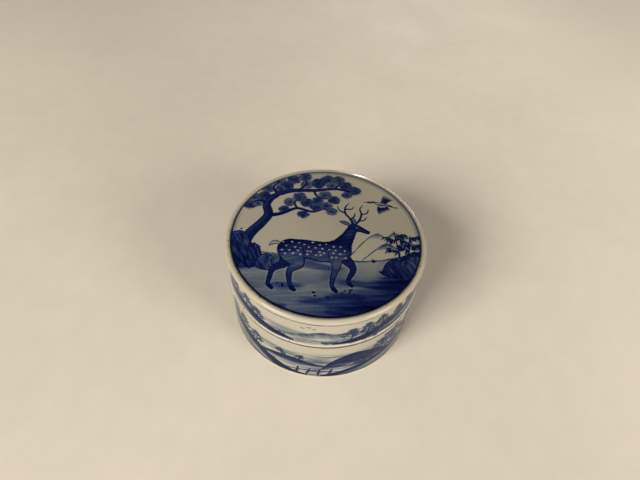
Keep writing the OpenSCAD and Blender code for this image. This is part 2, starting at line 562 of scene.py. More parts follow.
def deer_body(figure):
    """A deer in stride: limbs joined by smooth unions, wash that fades from the contour, and a dark line."""
    sheet, size = figure.sheet, figure.size
    center_x, center_y = figure.origin
    place, x, y = sheet.window(center_x - 24 * size, center_y - 27 * size,
                               center_x + 27 * size, center_y + 31 * size)
    u = (x - center_x) / size
    v = (y - center_y) / size
    limbs = {
        "far fore": [[11.0, -4, 2.7], [15.4, -9.6, 1.4], [13.9, -15.2, 0.85], [14.2, -17.4, 0.95]],
        "far hind": [[-11.5, -4, 3.6], [-12.8, -9.6, 2.3], [-17.0, -13.4, 1.2], [-18.0, -19.8, 0.82],
                     [-17.2, -21.6, 0.95]],
        "torso": [[-11.0, -2.2, 5.6], [-4, -1.4, 4.8], [2.4, -2.2, 5.3], [8.6, -1.4, 5.5]],
        "neck": [[9.5, 0.6, 4.4], [12.4, 6.4, 2.9], [14.4, 11.8, 2.0]],
        "head": [[14.8, 13.2, 2.1], [17.6, 12.3, 1.6], [20.4, 11.0, 1.0], [21.3, 10.7, 0.9]],
        "fore": [[8.2, -4.4, 3.0], [8.6, -10.2, 1.6], [8.1, -12.4, 1.35], [7.2, -18.6, 0.82],
                 [8.2, -20.8, 1.0]],
        "hind": [[-10.6, -4.4, 4.6], [-7.4, -9.4, 2.7], [-10.2, -13.4, 1.35], [-9.5, -19.6, 0.82],
                 [-8.3, -21.6, 1.0]],
    }
    gap = {name: limb_gap(x, y, figure.scaled(limb)) for name, limb in limbs.items()}
    far = np.minimum(gap["far fore"], gap["far hind"])
    near = join_gaps(join_gaps(gap["torso"], gap["neck"], 2.4), gap["head"], 0.8)
    near = join_gaps(join_gaps(near, gap["fore"], 1.2), gap["hind"], 1.4)
    bristle = noise(u * 0.6 + v * 0.25, v - 0.3 * u, 3.2, 0.55, 31)
    tremor = 0.10 + 0.22 * noise(x, y, 2.6, 2.6, 33)
    upper = ease(-7.0, 3.5, v - 0.04 * u)
    edge = np.exp(np.minimum(near, 0) / (1.9 * size))
    level = 0.32 + 0.40 * upper + 0.38 * edge * (0.35 + 0.65 * upper)
    level += 0.22 * ease(-8, -18, v) + 0.16 * ease(-6, -15, u) * upper
    level -= 0.22 * ease(4.5, 8.5, v) * ease(9.5, 13.5, u)
    level = np.clip(level * (0.74 + 0.52 * bristle), 0.06, 1.05)
    for form, wash, line_tone in ((far, 0.62 + 0.26 * bristle, 0.95), (near, level, 0.96)):
        sheet.coat(place, ease(0.12, -0.12, form), wash, "over")
        sheet.coat(place, ease(tremor + 0.12, tremor - 0.12, np.abs(form + 0.1)), line_tone, "ink")


def deer(sheet, origin, size):
    """A dappled deer with its head up: its body, then pale spots, creases, antlers, hooves, ears and hair."""
    figure = Figure(sheet, origin, size)
    deer_body(figure)
    rng = np.random.default_rng(9)
    for row in range(4):
        for k in range(9):
            spot = np.array([-14.2 + 3 * k + 1.5 * (row % 2), 1.7 - 2.1 * row - 0.08 * abs(k - 4)])
            spot += [0.5 * rng.normal(), 0.3 * rng.normal()]
            radius = 0.34 + 0.16 * rng.random()
            if spot[0] < 12.4:
                figure.stroke([[*spot, radius], [spot[0] + 0.3, spot[1], radius]], 0.8, "lift", 0.2)
    creases = [
        [[6.4, 0.4, 0.05], [4.9, -3.2, 0.2], [6.0, -7.4, 0.07]],
        [[-8.2, 1.0, 0.05], [-5.4, -2.8, 0.22], [-5.4, -8.2, 0.08]],
        [[14.4, 11.2, 0.05], [16.5, 10.6, 0.14], [18.4, 10.9, 0.05]],
        [[19.4, 10.5, 0.06], [20.6, 10.4, 0.12], [21.6, 10.5, 0.05]],
        [[11.6, 3.0, 0.06], [12.6, -0.6, 0.16], [12.0, -3.6, 0.06]],
    ]
    antlers = [
        [[14.6, 15.0, 0.44], [13.2, 18.2, 0.42], [11.2, 21.0, 0.38], [10.9, 24.4, 0.28], [12.4, 27.4, 0.12]],
        [[13.6, 17.4, 0.36], [15.2, 19.6, 0.28], [15.4, 21.6, 0.1]],
        [[11.3, 21.0, 0.34], [8.4, 22.6, 0.26], [7.4, 25.0, 0.1]],
        [[10.9, 23.6, 0.3], [13.6, 24.0, 0.2], [14.8, 25.4, 0.1]],
        [[15.8, 15.0, 0.42], [17.6, 17.8, 0.4], [18.4, 21.2, 0.34], [17.6, 24.2, 0.26], [18.6, 26.8, 0.12]],
        [[17.2, 17.0, 0.32], [19.6, 17.8, 0.26], [20.8, 19.6, 0.1]],
        [[18.4, 21.0, 0.3], [20.8, 22.2, 0.24], [21.4, 24.4, 0.1]],
    ]
    for line in creases + antlers:
        figure.stroke(line, 0.95)
    for hoof_x, hoof_y in ((8.4, -21.2), (-8.1, -22.0), (14.5, -17.9), (-17.0, -22.0)):
        figure.stroke([[hoof_x - 0.6, hoof_y + 0.5, 0.75], [hoof_x + 0.7, hoof_y - 0.4, 0.8]], 1.0)
    figure.outlined([[13.6, 14.2, 0.3], [11.2, 15.3, 0.95], [8.8, 15.9, 0.1]], 0.3)
    figure.outlined([[15.4, 15.0, 0.3], [15.0, 17.0, 0.75], [14.2, 18.6, 0.1]], 0.3)
    figure.outlined([[-16.0, 0.8, 0.5], [-18.2, 0.9, 0.95], [-20.0, -0.8, 0.2]], 0.1)
    figure.stroke([[16.7, 13.0, 0.5], [17.0, 12.95, 0.48]], 0.0, "over")
    figure.stroke([[16.8, 13.0, 0.3], [17.05, 12.95, 0.26]], 1.0)
    chest = [(12.4 + 1.4 * k / 8, -3.8 + 12 * k / 8, 0.8, -1.4) for k in range(9)]
    belly = [(-4.5 + 1.1 * k, -6.1 + 0.1 * (k % 3), -0.7, -0.9) for k in range(10)]
    for x, y, step_x, step_y in chest + belly:
        figure.stroke([[x, y, 0.12], [x + step_x, y + step_y, 0.04]], 0.85)


def crane(sheet, origin, size):
    """A crane on the wing: dark flight feathers, pale body and neck, trailing legs."""
    figure = Figure(sheet, origin, size)
    for drop in (0.0, 1.0):
        foot = (12.6, -1.8 - 1.2 * drop)
        figure.stroke([[5.5, -0.8, 0.16], [9.0, -1.6 - 0.7 * drop, 0.13], [*foot, 0.1]], 0.9)
    for t in np.arange(8) / 7:
        tip = (2.2 + 6.4 * t, 10.4 - 4.4 * t)
        figure.stroke([[-0.8 + 3.4 * t, 0.8, 0.28], [0.6 + 4.6 * t, 5.6 - 1.8 * t, 0.46], [*tip, 0.1]],
                      0.55 + 0.38 * ease(0.2, 0.5, t))
    figure.outlined([[-3.4, 0.8, 0.8], [-6.2, 2.0, 0.52], [-8.2, 1.2, 0.42], [-10.2, 1.4, 0.44]], 0.06, 0.3)
    figure.outlined([[-4.2, 0.9, 0.6], [-1, 0.4, 1.5], [3, -0.3, 1.4], [6.4, -0.8, 0.3]], 0.06, 0.3)
    figure.stroke([[-4.6, 1.1, 0.5], [-3.0, 0.9, 0.6]], 0.06, "over")
    figure.stroke([[-5.6, 1.9, 0.18], [-7.6, 1.3, 0.24], [-9.4, 1.3, 0.2]], 0.9)
    figure.stroke([[-10.2, 1.4, 0.48], [-10.8, 1.4, 0.4]], 0.97)
    figure.stroke([[-10.9, 1.35, 0.2], [-13.6, 0.8, 0.05]], 0.97)
    for k in range(4):
        figure.stroke([[5.2, -0.7, 0.34], [8.2, -0.4 - 0.55 * k, 0.12]], 0.95)
    for k in range(10):
        t = k / 9
        root_x = -2.2 + 5.4 * t
        tip = (root_x + 0.4 + 3.0 * t, -10.0 + 5.4 * t)
        figure.stroke([[root_x, 0.0, 0.34], [root_x - 0.5 + 1.5 * t, -5.2 + 2.6 * t, 0.54], [*tip, 0.1]],
                      0.95 if k % 3 else 0.75)
    coverts = [[-2.4, 0.0, 0.3], [-1.4, -2.0, 1.0], [1.8, -1.6, 1.0], [3.6, -0.8, 0.3]]
    figure.stroke(coverts, 0.08, "over", 0.3)
    for k in range(6):
        figure.stroke([[-2.0 + k, -0.4, 0.09], [-1.8 + k, -2.2 + 0.2 * k, 0.13]], 0.6)


def below_ridge(sheet, ridge, foot):
    """What lies between a ridge and the height `foot`: the ridge's line, then cells with cover and depth."""
    line = brush_curve(ridge, 0.4)[:, :2]
    outline = np.vstack([line, [[line[-1, 0], foot], [line[0, 0], foot]]])
    place, x, y, cover = sheet.area(outline, 0.15)
    return line, place, x, y, cover, np.interp(x, line[:, 0], line[:, 1]) - y


def contour(sheet, line, tone, seed):
    """An uneven brush line along a ridge."""
    marks = line[::6]
    half_width = 0.06 + 0.16 * np.random.default_rng(seed).random(len(marks))
    sheet.stroke(np.column_stack([marks, half_width]), tone)


def hill(sheet, ridge, tone, fade, seed, line_tone=0.6):
    """A far hill: a crisp ridge line, and colour that thins out below it over `fade`."""
    ridge = sheet.up(ridge)
    line, place, x, y, cover, depth = below_ridge(sheet, ridge, ridge[:, 1].min() - 1.5 * fade)
    haze = max(line[0, 1], line[-1, 1])
    clear = ease(haze - 0.8 * fade, haze + 0.3 * fade, y)
    thin = np.exp(-np.clip(depth, 0, None) * 2.0 / fade) * clear
    ends = ease(line[0, 0], line[0, 0] + 3, x) * ease(line[-1, 0], line[-1, 0] - 3, x)
    streak = 0.65 + 0.7 * noise(x + 0.4 * y, y, 1.1, 4.0, seed)
    sheet.coat(place, cover * ease(0.03, 0.25, thin) * ends, tone * thin * streak, "over")
    contour(sheet, line, line_tone, seed)


def ground(sheet):
    """Washed ground under a soft edge, in streaks, darkest towards the right."""
    edge = [[-46, -7], [-36, -10], [-27, -12.5], [-14, -13.5], [0, -12.6], [13, -13.6], [24, -12.2],
            [33, -9.5], [46, -7.5]]
    outline = np.vstack([brush_curve(edge, 0.6), [[TOP_REACH, -TOP_REACH], [-TOP_REACH, -TOP_REACH]]])
    place, x, y, cover = sheet.area(outline, 0.5)
    drift = noise(x + 0.3 * y, y, 15, 5, 11)
    streak = noise(x + 0.8 * y, y - 0.12 * x, 9, 0.9, 12)
    band = noise(x - 0.5 * y, y, 14, 3.6, 21)
    corner = ease(0.1, 0.95, (0.90 * x - 0.44 * y) / 42)
    level = 0.09 + 0.13 * drift + 0.12 * streak * ease(-13, -36, y)
    level += 0.66 * ease(27, 42, np.hypot(x, y)) * corner * (0.55 + 0.6 * streak)
    level += 0.24 * ease(0.48, 0.74, band) * (0.6 + 0.8 * streak)
    sheet.coat(place, cover, level, "wash")
    for k in range(0, 8, 2):
        line = [[*edge[k], 0.25], [*edge[k + 1], 0.45], [*edge[k + 2], 0.15]]
        sheet.stroke(line, 0.3, "wash", 0.35)


def border(sheet, radius):
    """The round border: what lies past it is wiped off, and a dark uneven line, heaviest at the near side,
    goes over a faint wash."""
    place, x, y = sheet.window(-TOP_REACH, -TOP_REACH, TOP_REACH, TOP_REACH)
    away = np.hypot(x, y + BORDER_SHIFT) - radius
    sheet.coat(place, ease(-0.3, 0.1, away), 1.0, "lift")
    near = 0.5 - 0.5 * y / radius
    inner = ease(-2.4, -0.6, away) * ease(0.1, -0.3, away)
    sheet.coat(place, inner, 0.01 + 0.12 * ease(0.4, 0.85, noise(x, y, 19, 19, 84)), "wash")
    tremor = 0.26 + 0.2 * near + 0.16 * (noise(x, y, 6, 6, 83) - 0.5)
    sheet.coat(place, ease(tremor + 0.13, tremor - 0.13, np.abs(away)), 0.38 + 0.6 * near, "ink")


def paint_lid_top(border_radius):
    """The round picture on the lid: a deer and a crane by an old pine, inside a dark border line."""
    sheet = Sheet(-TOP_REACH, TOP_REACH, -TOP_REACH, TOP_REACH)
    hill(sheet, [[11, -11], [18, -1], [23, 3.6], [27, 1.4], [31, 4.8], [36, 2.2], [46, 4.4]], 0.36, 9, 41)
    hill(sheet, [[17, -12], [24, -4.4], [28, -2.0], [32, -4.2], [37, -1.0], [46, -3.0]], 0.5, 7, 42)
    ground(sheet)
    pine(sheet)
    rock(sheet, [[-46, -20], [-45, -6], [-39.5, -1.5], [-35.5, -3.4], [-33.2, -7.8], [-29.6, -9.0],
                 [-27.5, -14], [-25, -19.4], [-33, -21.5], [-39, -21.2]], 0.95, 0.3, 51,
         [[[-38, -4], [-37.2, -9], [-38.4, -14]], [[-33.5, -8.4], [-34.2, -12.8], [-33.0, -17.6]],
          [[-41, -6], [-41.4, -12]], [[-30, -10], [-30.6, -15.4]]])
    rock(sheet, [[-29.5, -20.6], [-28.4, -15.4], [-25.0, -13.2], [-22.4, -15.4], [-19.4, -18.8], [-21, -21.4],
                 [-26, -22]], 0.75, 0.14, 52,
         [[[-25.4, -14.2], [-25.0, -17.2], [-26.0, -20]], [[-22.8, -16], [-22.4, -19.4]]])
    rock(sheet, [[25.5, -19.4], [26.6, -14.2], [30.2, -10.6], [33.4, -11.6], [36.4, -7.6], [41, -6.8],
                 [45, -14], [42, -20], [32, -21]], 0.85, 0.2, 61,
         [[[30.4, -11.6], [29.6, -15.4], [30.4, -19]], [[36.4, -8.6], [35.0, -13.2], [36.2, -18.4]],
          [[39.6, -8], [39.2, -13]]])
    bamboo(sheet, 33.4, -12.5, 18.5, -2.8, 62)
    bamboo(sheet, 37.0, -9.5, 13.5, 1.0, 63)
    moss = ((-38.5, -3.2, 12, 1.6, 53), (-31.0, -9.6, 9, 1.2, 54), (-25, -14.2, 6, 0.8, 55),
            (31.0, -11.2, 7, 1.1, 64), (38.2, -7.6, 8, 1.2, 65))
    grass = ((-20.2, -20.6, 3.4, 56), (-31.5, -22.2, 3.2, 57), (25.2, -19.6, 3.4, 66),
             (21.6, -13.6, 2.4, 67), (-8.5, -13.8, 2.0, 68), (2.5, -34.5, 2.6, 74))
    pebbles = ((-3.0, -32.0, 4, 71), (11.0, -29.5, 5, 72), (-17.0, -29.0, 3, 73))
    for x, y, count, spread, seed in moss:
        dabs(sheet, x, y, count, spread, 0.32, seed)
    for x, y, height, seed in grass:
        tuft(sheet, x, y, height, seed)
    deer(sheet, (-3.6, -7.4), 1.05)
    crane(sheet, (25.2, 22.4), 0.64)
    for x, y, count, seed in pebbles:
        dabs(sheet, x, y, count, 1.5, 0.42, seed, 0.98)
    sheet.pool(1.26, 0.11)
    border(sheet, border_radius)
    return sheet


# Landscapes on the walls


def slope(sheet, crest, foot, tone, band, seed):
    """A long slope down to the height `foot`: a dark band below its crest, then streaks that follow the
    crest. An end that stands high fades out sideways."""
    foot += sheet.base
    line, place, x, y, cover, depth = below_ridge(sheet, sheet.up(crest), foot)
    drift = 2.2 * noise(x, y, 13, 9, seed)
    streak = noise(depth + drift, x * 0.05, 1.15, 1, seed + 1)
    hair = noise(depth + drift, x * 0.08, 0.8, 1, seed + 2)
    load = 0.62 + 0.62 * noise(x, depth, 6, 1.5, seed + 3)
    dry = 0.78 + 0.44 * noise(x + 2 * depth, depth, 4.2, 1.1, seed + 4)
    dark = ease(band + 0.9 + 1.6 * streak, band - 0.6, depth) * load * dry + 0.12 * hair
    pale = 0.66 * ease(0.42, 0.9, streak) * np.exp(-depth / 9) * dry + 0.2 * hair
    left_fade, right_fade = np.maximum(0.5, 0.8 * (line[[0, -1], 1] - foot))
    room = np.minimum((x - line[0, 0]) / left_fade, (line[-1, 0] - x) / right_fade)
    level = np.clip(tone * np.maximum(dark, pale), 0.03, 1)
    sheet.coat(place, cover * ease(0, 1, room), level, "over")
    shown = (line[:, 0] > line[0, 0] + 0.4 * left_fade) & (line[:, 0] < line[-1, 0] - 0.4 * right_fade)
    contour(sheet, line[shown], 0.8 * tone, seed)


def knoll(sheet, ridge, foot, tone, seed):
    """A rounded hill: a crisp ridge, broad loads of wash, deepest at the ridge, and a foot lost in mist."""
    foot += sheet.base
    line, place, x, y, cover, depth = below_ridge(sheet, sheet.up(ridge), foot)
    climb = (y - foot) / np.maximum(depth + y - foot, 0.5)
    load = noise(x + 0.8 * y, y, 3.6, 1.8, seed)
    streak = noise(x + 1.5 * y, y, 8, 0.6, seed + 50)
    level = tone * (0.66 + 0.4 * load + 0.3 * np.exp(-depth / 0.9)) * (0.9 + 0.2 * streak)
    sheet.coat(place, cover * ease(0.02, 0.55, climb + 0.4 * (streak - 0.5)), level, "over")
    contour(sheet, line, tone, seed)


def mist(sheet, left, right, low, high, tone, seed):
    """Thin wash in level streaks with soft ends: haze, or light on water."""
    low += sheet.base
    high += sheet.base
    place, x, y = sheet.window(left, low, right, high)
    ends = ease(left, left + 9, x) * ease(right, right - 9, x)
    body = ease(low, low + 2, y) * ease(high, high - 3, y)
    streak = 0.65 * noise(x, y, 15, 1.3, seed) + 0.35 * noise(x, y, 6, 0.5, seed + 1)
    sheet.coat(place, ends * body * ease(0.3, 0.75, streak), tone, "wash")


def leaves(sheet, x, y, reach, count, rng, tone):
    """A clump of leaves: a pale wash under dabs of the brush's tip, darker low down."""
    sheet.stroke([[x - 0.6 * reach, y - 0.1 * reach, 0.5 * reach], [x + 0.6 * reach, y, 0.45 * reach]],
                 0.4 * tone, "wash", 0.5)
    for _ in range(count):
        angle = 2 * math.pi * rng.random()
        out = reach * math.sqrt(rng.random())
        dab_x = x + 1.3 * out * math.cos(angle)
        dab_y = y + 0.8 * out * math.sin(angle)
        lean = 1.2 * (rng.random() - 0.5) + 0.35 * math.cos(angle)
        half = 0.28 + 0.3 * rng.random()
        dark = tone * (0.55 + 0.5 * rng.random() - 0.25 * math.sin(angle))
        sheet.stroke([[dab_x - half, dab_y - lean * half, 0.1],
                      [dab_x, dab_y + 0.1, 0.15 + 0.16 * rng.random()],
                      [dab_x + half, dab_y + lean * half, 0.06]], dark)


def shrubs(sheet, path, count, reach, seed, tone=0.6):
    """Brushy growth along a path: clumps of leaves, with dry strokes that fan out of them."""
    rng = np.random.default_rng(seed)
    line = brush_curve(sheet.up(path), 0.5)
    for _ in range(count):
        x, y = line[int(rng.random() * (len(line) - 1))] + rng.normal(size=2) * [1.2, 0.6]
        size = reach * (0.35 + 0.35 * rng.random())
        leaves(sheet, x, y, size, 5, rng, tone)
        for _ in range(3):
            angle = 0.4 + 2.3 * rng.random()
            tip = (x + math.cos(angle) * 2 * size, y + 1.4 * math.sin(angle) * size)
            root = (x + 0.3 * size * rng.normal(), y - 0.3 * size)
            leaf(sheet, root, tip, 0.45, tone * (0.6 + 0.5 * rng.random()), 0.15)


def trees(sheet, places, tone=0.7):
    """Bank-side trees, from rows of x, y, height and seed: bent trunks, and boughs that end in leaves."""
    for x, y, height, seed in places:
        y += sheet.base
        rng = np.random.default_rng(seed)
        lean = 0.12 * height * rng.normal()
        sheet.stroke([[x, y, 0.4], [x + 0.5 * lean + 0.3, y + 0.35 * height, 0.3],
                      [x + lean, y + 0.8 * height, 0.14]], tone + 0.1)
        for k in range(8):
            rise = 0.40 + 0.085 * k
            side = (-1 if k % 2 else 1) * (0.34 - 0.038 * k) * height * (0.6 + 0.7 * rng.random())
            clump = (x + lean * rise + side, y + height * rise)
            sheet.stroke([[x + 0.8 * lean * rise, clump[1] - 0.14 * height, 0.18], [*clump, 0.09]], tone)
            leaves(sheet, *clump, height * (0.11 + 0.05 * rng.random()), 11, rng, tone)


def boat(sheet, x, y, size):
    """A sampan seen from the side: a curved hull, a mat roof, a mast and the streaks of its wake."""
    level = y + sheet.base
    hull = [[-5, 1.1, 0.14], [-2.4, 0.1, 0.5 * size], [2.4, 0.1, 0.5 * size], [5, 1.3, 0.14]]
    roof = [[-1.6, 0.6, 0.3], [0, 1.9, 0.34], [1.6, 0.6, 0.3]]
    mast = [[2.2, 0.4, 0.14], [2.0, 5.6, 0.1]]
    for line, tone in ((hull, 0.7), (roof, 0.6), (mast, 0.7)):
        sheet.stroke(np.array(line) * [size, size, 1] + [x, level, 0], tone)
    water(sheet, x - 6 * size, x + 7 * size, y - 1.3 * size, 3, int(10 * abs(x)) + 7)


def water(sheet, left, right, y, lines, seed):
    """Still water: short level streaks of thin wash."""
    rng = np.random.default_rng(seed)
    for k in range(lines):
        start = left + (right - left) * 0.6 * rng.random()
        end = start + (right - left) * (0.2 + 0.25 * rng.random())
        level = sheet.base + y - 0.75 * k + 0.2 * rng.normal()
        middle = [(start + end) / 2, level + 0.12 * rng.normal(), 0.2]
        tone = 0.16 + 0.22 * rng.random()
        sheet.stroke([[start, level, 0.08], middle, [end, level, 0.06]], tone, "ink", 0.2)


def birds(sheet, x, y, count, seed):
    """Far birds: two short strokes each, in a loose row."""
    rng = np.random.default_rng(seed)
    for k in range(count):
        bird_x = x + 2.6 * k + 0.5 * rng.normal()
        bird_y = sheet.base + y + 0.7 * rng.normal()
        sheet.stroke([[bird_x - 0.9, bird_y + 0.35, 0.06], [bird_x, bird_y, 0.16],
                      [bird_x + 0.9, bird_y + 0.4, 0.06]], 0.6)


def footbridge(sheet, left, right, y):
    """A plank footbridge on crooked posts."""
    y += sheet.base
    sheet.stroke([[left, y - 0.6, 0.25], [(left + right) / 2, y + 0.9, 0.5], [right, y - 0.4, 0.25]], 0.74)
    for k in range(4):
        post_x = left + (right - left) * (0.2 + 0.2 * k)
        lean = 0.9 if k % 2 else 0.4
        sheet.stroke([[post_x + lean, y + 2.6, 0.36], [post_x, y - 0.6, 0.52],
                      [post_x - lean, y - 3.6, 0.34]], 0.8)
        sheet.stroke([[post_x - 1.3, y - 1.7, 0.2], [post_x + 1.1, y - 1.3, 0.24]], 0.66)


def turn_line(sheet, y, half_width, tone, soft, seed):
    """A line at the height y that was drawn while the pot turned on the wheel, a little uneven all the way
    round: its noise is read on a circle, so that its ends meet."""
    left = sheet.left
    right = left + sheet.columns * sheet.CELL
    place, x, z = sheet.window(left, y - 3, right - sheet.CELL, y + 3)
    angle = 2 * math.pi * (x - left) / (right - left)
    round_x = np.sin(angle) * 23
    round_y = np.cos(angle) * 23
    wave = 0.16 * (noise(round_x, round_y, 9, 9, seed) - 0.5)
    load = 0.75 + 0.5 * noise(round_x, round_y, 4, 4, seed + 1)
    away = np.abs(z - y - wave) - half_width
    sheet.coat(place, ease(soft, -soft, away), tone * load, "wash")


def paint_lid_wall(half_turn, low, high):
    """The landscape round the lid: wooded banks, a dark ridge above water, far hills and a boat."""
    sheet = Sheet(-half_turn, half_turn, low, high, wraps=True, base=low + 3.1)
    mist(sheet, -150, 20, -0.5, 10, 0.17, 140)
    mist(sheet, 0, 150, -0.5, 11, 0.17, 142)
    mist(sheet, 130, 230, -0.5, 9, 0.15, 144)
    water(sheet, -22, 16, 4.4, 7, 3)
    hill(sheet, [[-16, 4.2], [-7, 6.6], [1, 9.4], [8, 8.0], [14, 9.0], [24, 4.6]], 0.42, 6, 90, 0.5)
    trees(sheet, [(-74, 5.6, 8.6, 83), (-66, 6.8, 8.0, 84), (-58, 7.2, 7.8, 88), (-50, 6.8, 8.4, 85),
                  (-42, 5.8, 9.2, 86), (-35, 4.6, 9.0, 87), (-28, 3.0, 7.6, 89)])
    slope(sheet, [[-98, 0.6], [-82, 5.8], [-66, 8.4], [-52, 8.8], [-39, 7.6], [-26, 4.8], [-10, 0.5]],
          -0.3, 1.0, 4.0, 107)
    shrubs(sheet, [[-84, 5.2], [-66, 6.6], [-50, 6.2], [-36, 4.0], [-22, 1.8], [-13, 0.9]], 46, 2.8, 91)
    birds(sheet, -7, 12.0, 3, 93)
    slope(sheet, [[6, 0.4], [14, 2.6], [22, 4.6], [29, 7.2], [36, 8.0], [43, 10.2], [51, 11.0], [60, 13.0],
                  [70, 13.6], [82, 11.6]], -0.3, 1.0, 3.4, 94)
    trees(sheet, [(14, 1.8, 8.6, 80), (21, 3.4, 8.8, 79), (28, 5.4, 8.2, 81), (36, 7.2, 6.4, 82),
                  (44, 9.4, 5.0, 78)])
    shrubs(sheet, [[20, 4.2], [28, 6.4], [36, 7.8], [44, 9.8]], 16, 2.4, 95)
    shrubs(sheet, [[1, 0.9], [12, 0.8], [24, 1.2], [38, 1.4]], 24, 2.4, 96, 0.52)
    hill(sheet, [[64, 5], [75, 9], [83, 11.6], [91, 8.8], [100, 10.6], [112, 5]], 0.5, 7, 97)
    water(sheet, 78, 128, 3.4, 6, 98)
    boat(sheet, 106, 3.2, 0.85)
    knoll(sheet, [[113, -0.3], [121, 4.6], [130, 6.4], [139, 5.0], [151, -0.3]], -0.4, 0.85, 99)
    trees(sheet, [(128, 4.4, 8.6, 100)])
    shrubs(sheet, [[136, 3.8], [148, 2.2], [164, 2.0], [180, 3.4], [198, 5.4]], 40, 3.0, 101, 0.52)
    hill(sheet, [[-136, 4], [-123, 8.6], [-114, 7.2], [-104, 11.4], [-94, 8.0], [-84, 4]], 0.5, 7, 102)
    slope(sheet, [[-122, 0.4], [-111, 3.0], [-100, 4.4], [-90, 2.6], [-80, 0.4]], -0.3, 0.9, 1.8, 103)
    water(sheet, -136, -112, 2.4, 4, 104)
    birds(sheet, 92, 13.0, 3, 105)
    sheet.pool(1.36, 0.42)
    turn_line(sheet, high - ROLL_LINE, 0.32, 0.4, 0.22, 106)
    return sheet


def paint_box_wall(half_turn, low, high):
    """The landscape round the box: a striped slope, a footbridge, knolls, tree-grown banks and islets."""
    sheet = Sheet(-half_turn, half_turn, low, high, wraps=True, base=low)
    mist(sheet, -120, 10, 1, 22, 0.17, 146)
    mist(sheet, -6, 130, 1, 23, 0.17, 148)
    mist(sheet, 110, 200, 1, 20, 0.16, 150)
    knoll(sheet, [[-30, 9.7], [-20, 13.9], [-12, 15.6], [-4, 14.0], [8, 9.7]], 9.6, 0.85, 110)
    trees(sheet, [(-16, 14.4, 5.0, 160), (-8, 14.6, 4.2, 161)], 0.6)
    water(sheet, -20, 16, 10.4, 5, 111)
    trees(sheet, [(-47, 17.6, 8.6, 162), (-39, 14.8, 9.4, 163), (-31, 11.6, 9.0, 164)], 0.64)
    slope(sheet, [[-92, 20.5], [-80, 23.6], [-66, 23.4], [-54, 20.6], [-42, 16.6], [-31, 12.6], [-21, 7.6],
                  [-11, 3.4], [-3, 1.3]], 0.8, 1.05, 4.6, 112)
    shrubs(sheet, [[-52, 19.6], [-40, 15.6], [-28, 10.6], [-17, 5.6]], 18, 2.4, 165)
    footbridge(sheet, -13.5, 12, 5.2)
    knoll(sheet, [[2.4, 7.7], [4.4, 11.6], [8, 16.0], [13, 19.6], [18, 20.8], [23, 19.2], [28, 17.4],
                  [34, 13.0], [41, 7.7]], 7.6, 0.95, 113)
    trees(sheet, [(27, 10.4, 12, 108), (34, 10.8, 14, 115), (42, 11, 14.5, 116), (50, 11, 14, 109),
                  (58, 11, 12, 128), (67, 10, 11, 129)])
    shrubs(sheet, [[20, 9.6], [30, 12.0], [40, 13.0], [52, 12.8], [64, 12.6], [80, 9.2]], 54, 3.4, 114)
    slope(sheet, [[2, 1.5], [12, 5.0], [24, 8.4], [38, 10.2], [52, 10.8], [66, 9.6], [82, 4.2], [92, 1.4]],
          0.8, 0.9, 2.2, 117)
    water(sheet, 72, 118, 9.4, 7, 118)
    hill(sheet, [[68, 14], [79, 19.6], [87, 17.8], [95, 22.0], [104, 18.2], [116, 14]], 0.5, 8, 119)
    boat(sheet, 94, 10.0, 1.05)
    slope(sheet, [[96, 1.4], [106, 6.0], [117, 12.0], [127, 19.4], [137, 22.6], [148, 20.4], [158, 13.6],
                  [170, 6.0], [180, 1.4]], 0.8, 1.0, 3.0, 120)
    trees(sheet, [(116, 11, 10.5, 121)])
    shrubs(sheet, [[166, 8.0], [178, 5.6], [190, 5.2]], 18, 3.0, 122, 0.52)
    knoll(sheet, [[-109, 4.3], [-100, 11.0], [-92, 14.0], [-84, 11.4], [-75, 4.3]], 4.2, 0.9, 123)
    shrubs(sheet, [[-110, 6.0], [-96, 4.6], [-80, 4.8]], 20, 2.8, 124, 0.5)
    birds(sheet, -112, 20, 4, 125)
    water(sheet, -128, -104, 9.0, 4, 126)
    sheet.pool(1.36, 0.42)
    turn_line(sheet, low + 1.4, 0.6, 0.3, 0.9, 127)
    return sheet


def speck(sheet, x, y, least, more, strength, rng):
    """One speck of iron, whose size and load vary."""
    size = least + more * rng.random() ** 3
    load = 0.35 + strength * rng.random()
    sheet.stroke([[x - 0.08, y, size], [x + 0.1, y + 0.03, size]], load, "ink", 0.12)


def stain_lid_wall(half_turn, low, high):
    """Iron on the lid's wall: a hair line above the bead, a grey line under the roll, short cracks across the
    bead and a few specks."""
    sheet = Sheet(-half_turn, half_turn, low, high, wraps=True)
    turn_line(sheet, low + 2.5, 0.10, 0.55, 0.16, 131)
    turn_line(sheet, high - ROLL_LINE, 0.24, 0.14, 0.2, 133)
    rng = np.random.default_rng(132)
    for x in (-38, -12, 21.5, 41, 77, 104, -66, -97, -131):
        drop = 0.4 * rng.normal()
        crack = [[x, low + 2.7, 0.10], [x + 0.3 * drop, low + 1.6, 0.13], [x + drop, low + 0.4, 0.08]]
        sheet.stroke(crack, 0.7, "ink", 0.12)
    for _ in range(70):
        x = half_turn * (2 * rng.random() - 1)
        on_bead = rng.random() < 0.55
        y = low + (2.4 * rng.random() if on_bead else high - low - 4.2 * rng.random())
        speck(sheet, x, y, 0.07, 0.12, 0.5, rng)
    return sheet


def stain_box_wall(half_turn, low, high):
    """Iron on the box's wall: dirt and painted shade at the rim under the lid's bead, a soft grey line above
    the foot and a few specks.
    """
    sheet = Sheet(-half_turn, half_turn, low, high, wraps=True)
    # Dirt and painted shade along the rim, in the seam under the lid's bead
    turn_line(sheet, high, 0.48, 1.0, 0.2, 135)
    turn_line(sheet, low + 1.2, 0.5, 0.16, 0.9, 136)
    rng = np.random.default_rng(137)
    for _ in range(40):
        x = half_turn * (2 * rng.random() - 1)
        y = low + (high - low) * rng.random()
        speck(sheet, x, y, 0.06, 0.1, 0.4, rng)
    return sheet


# Turned surfaces


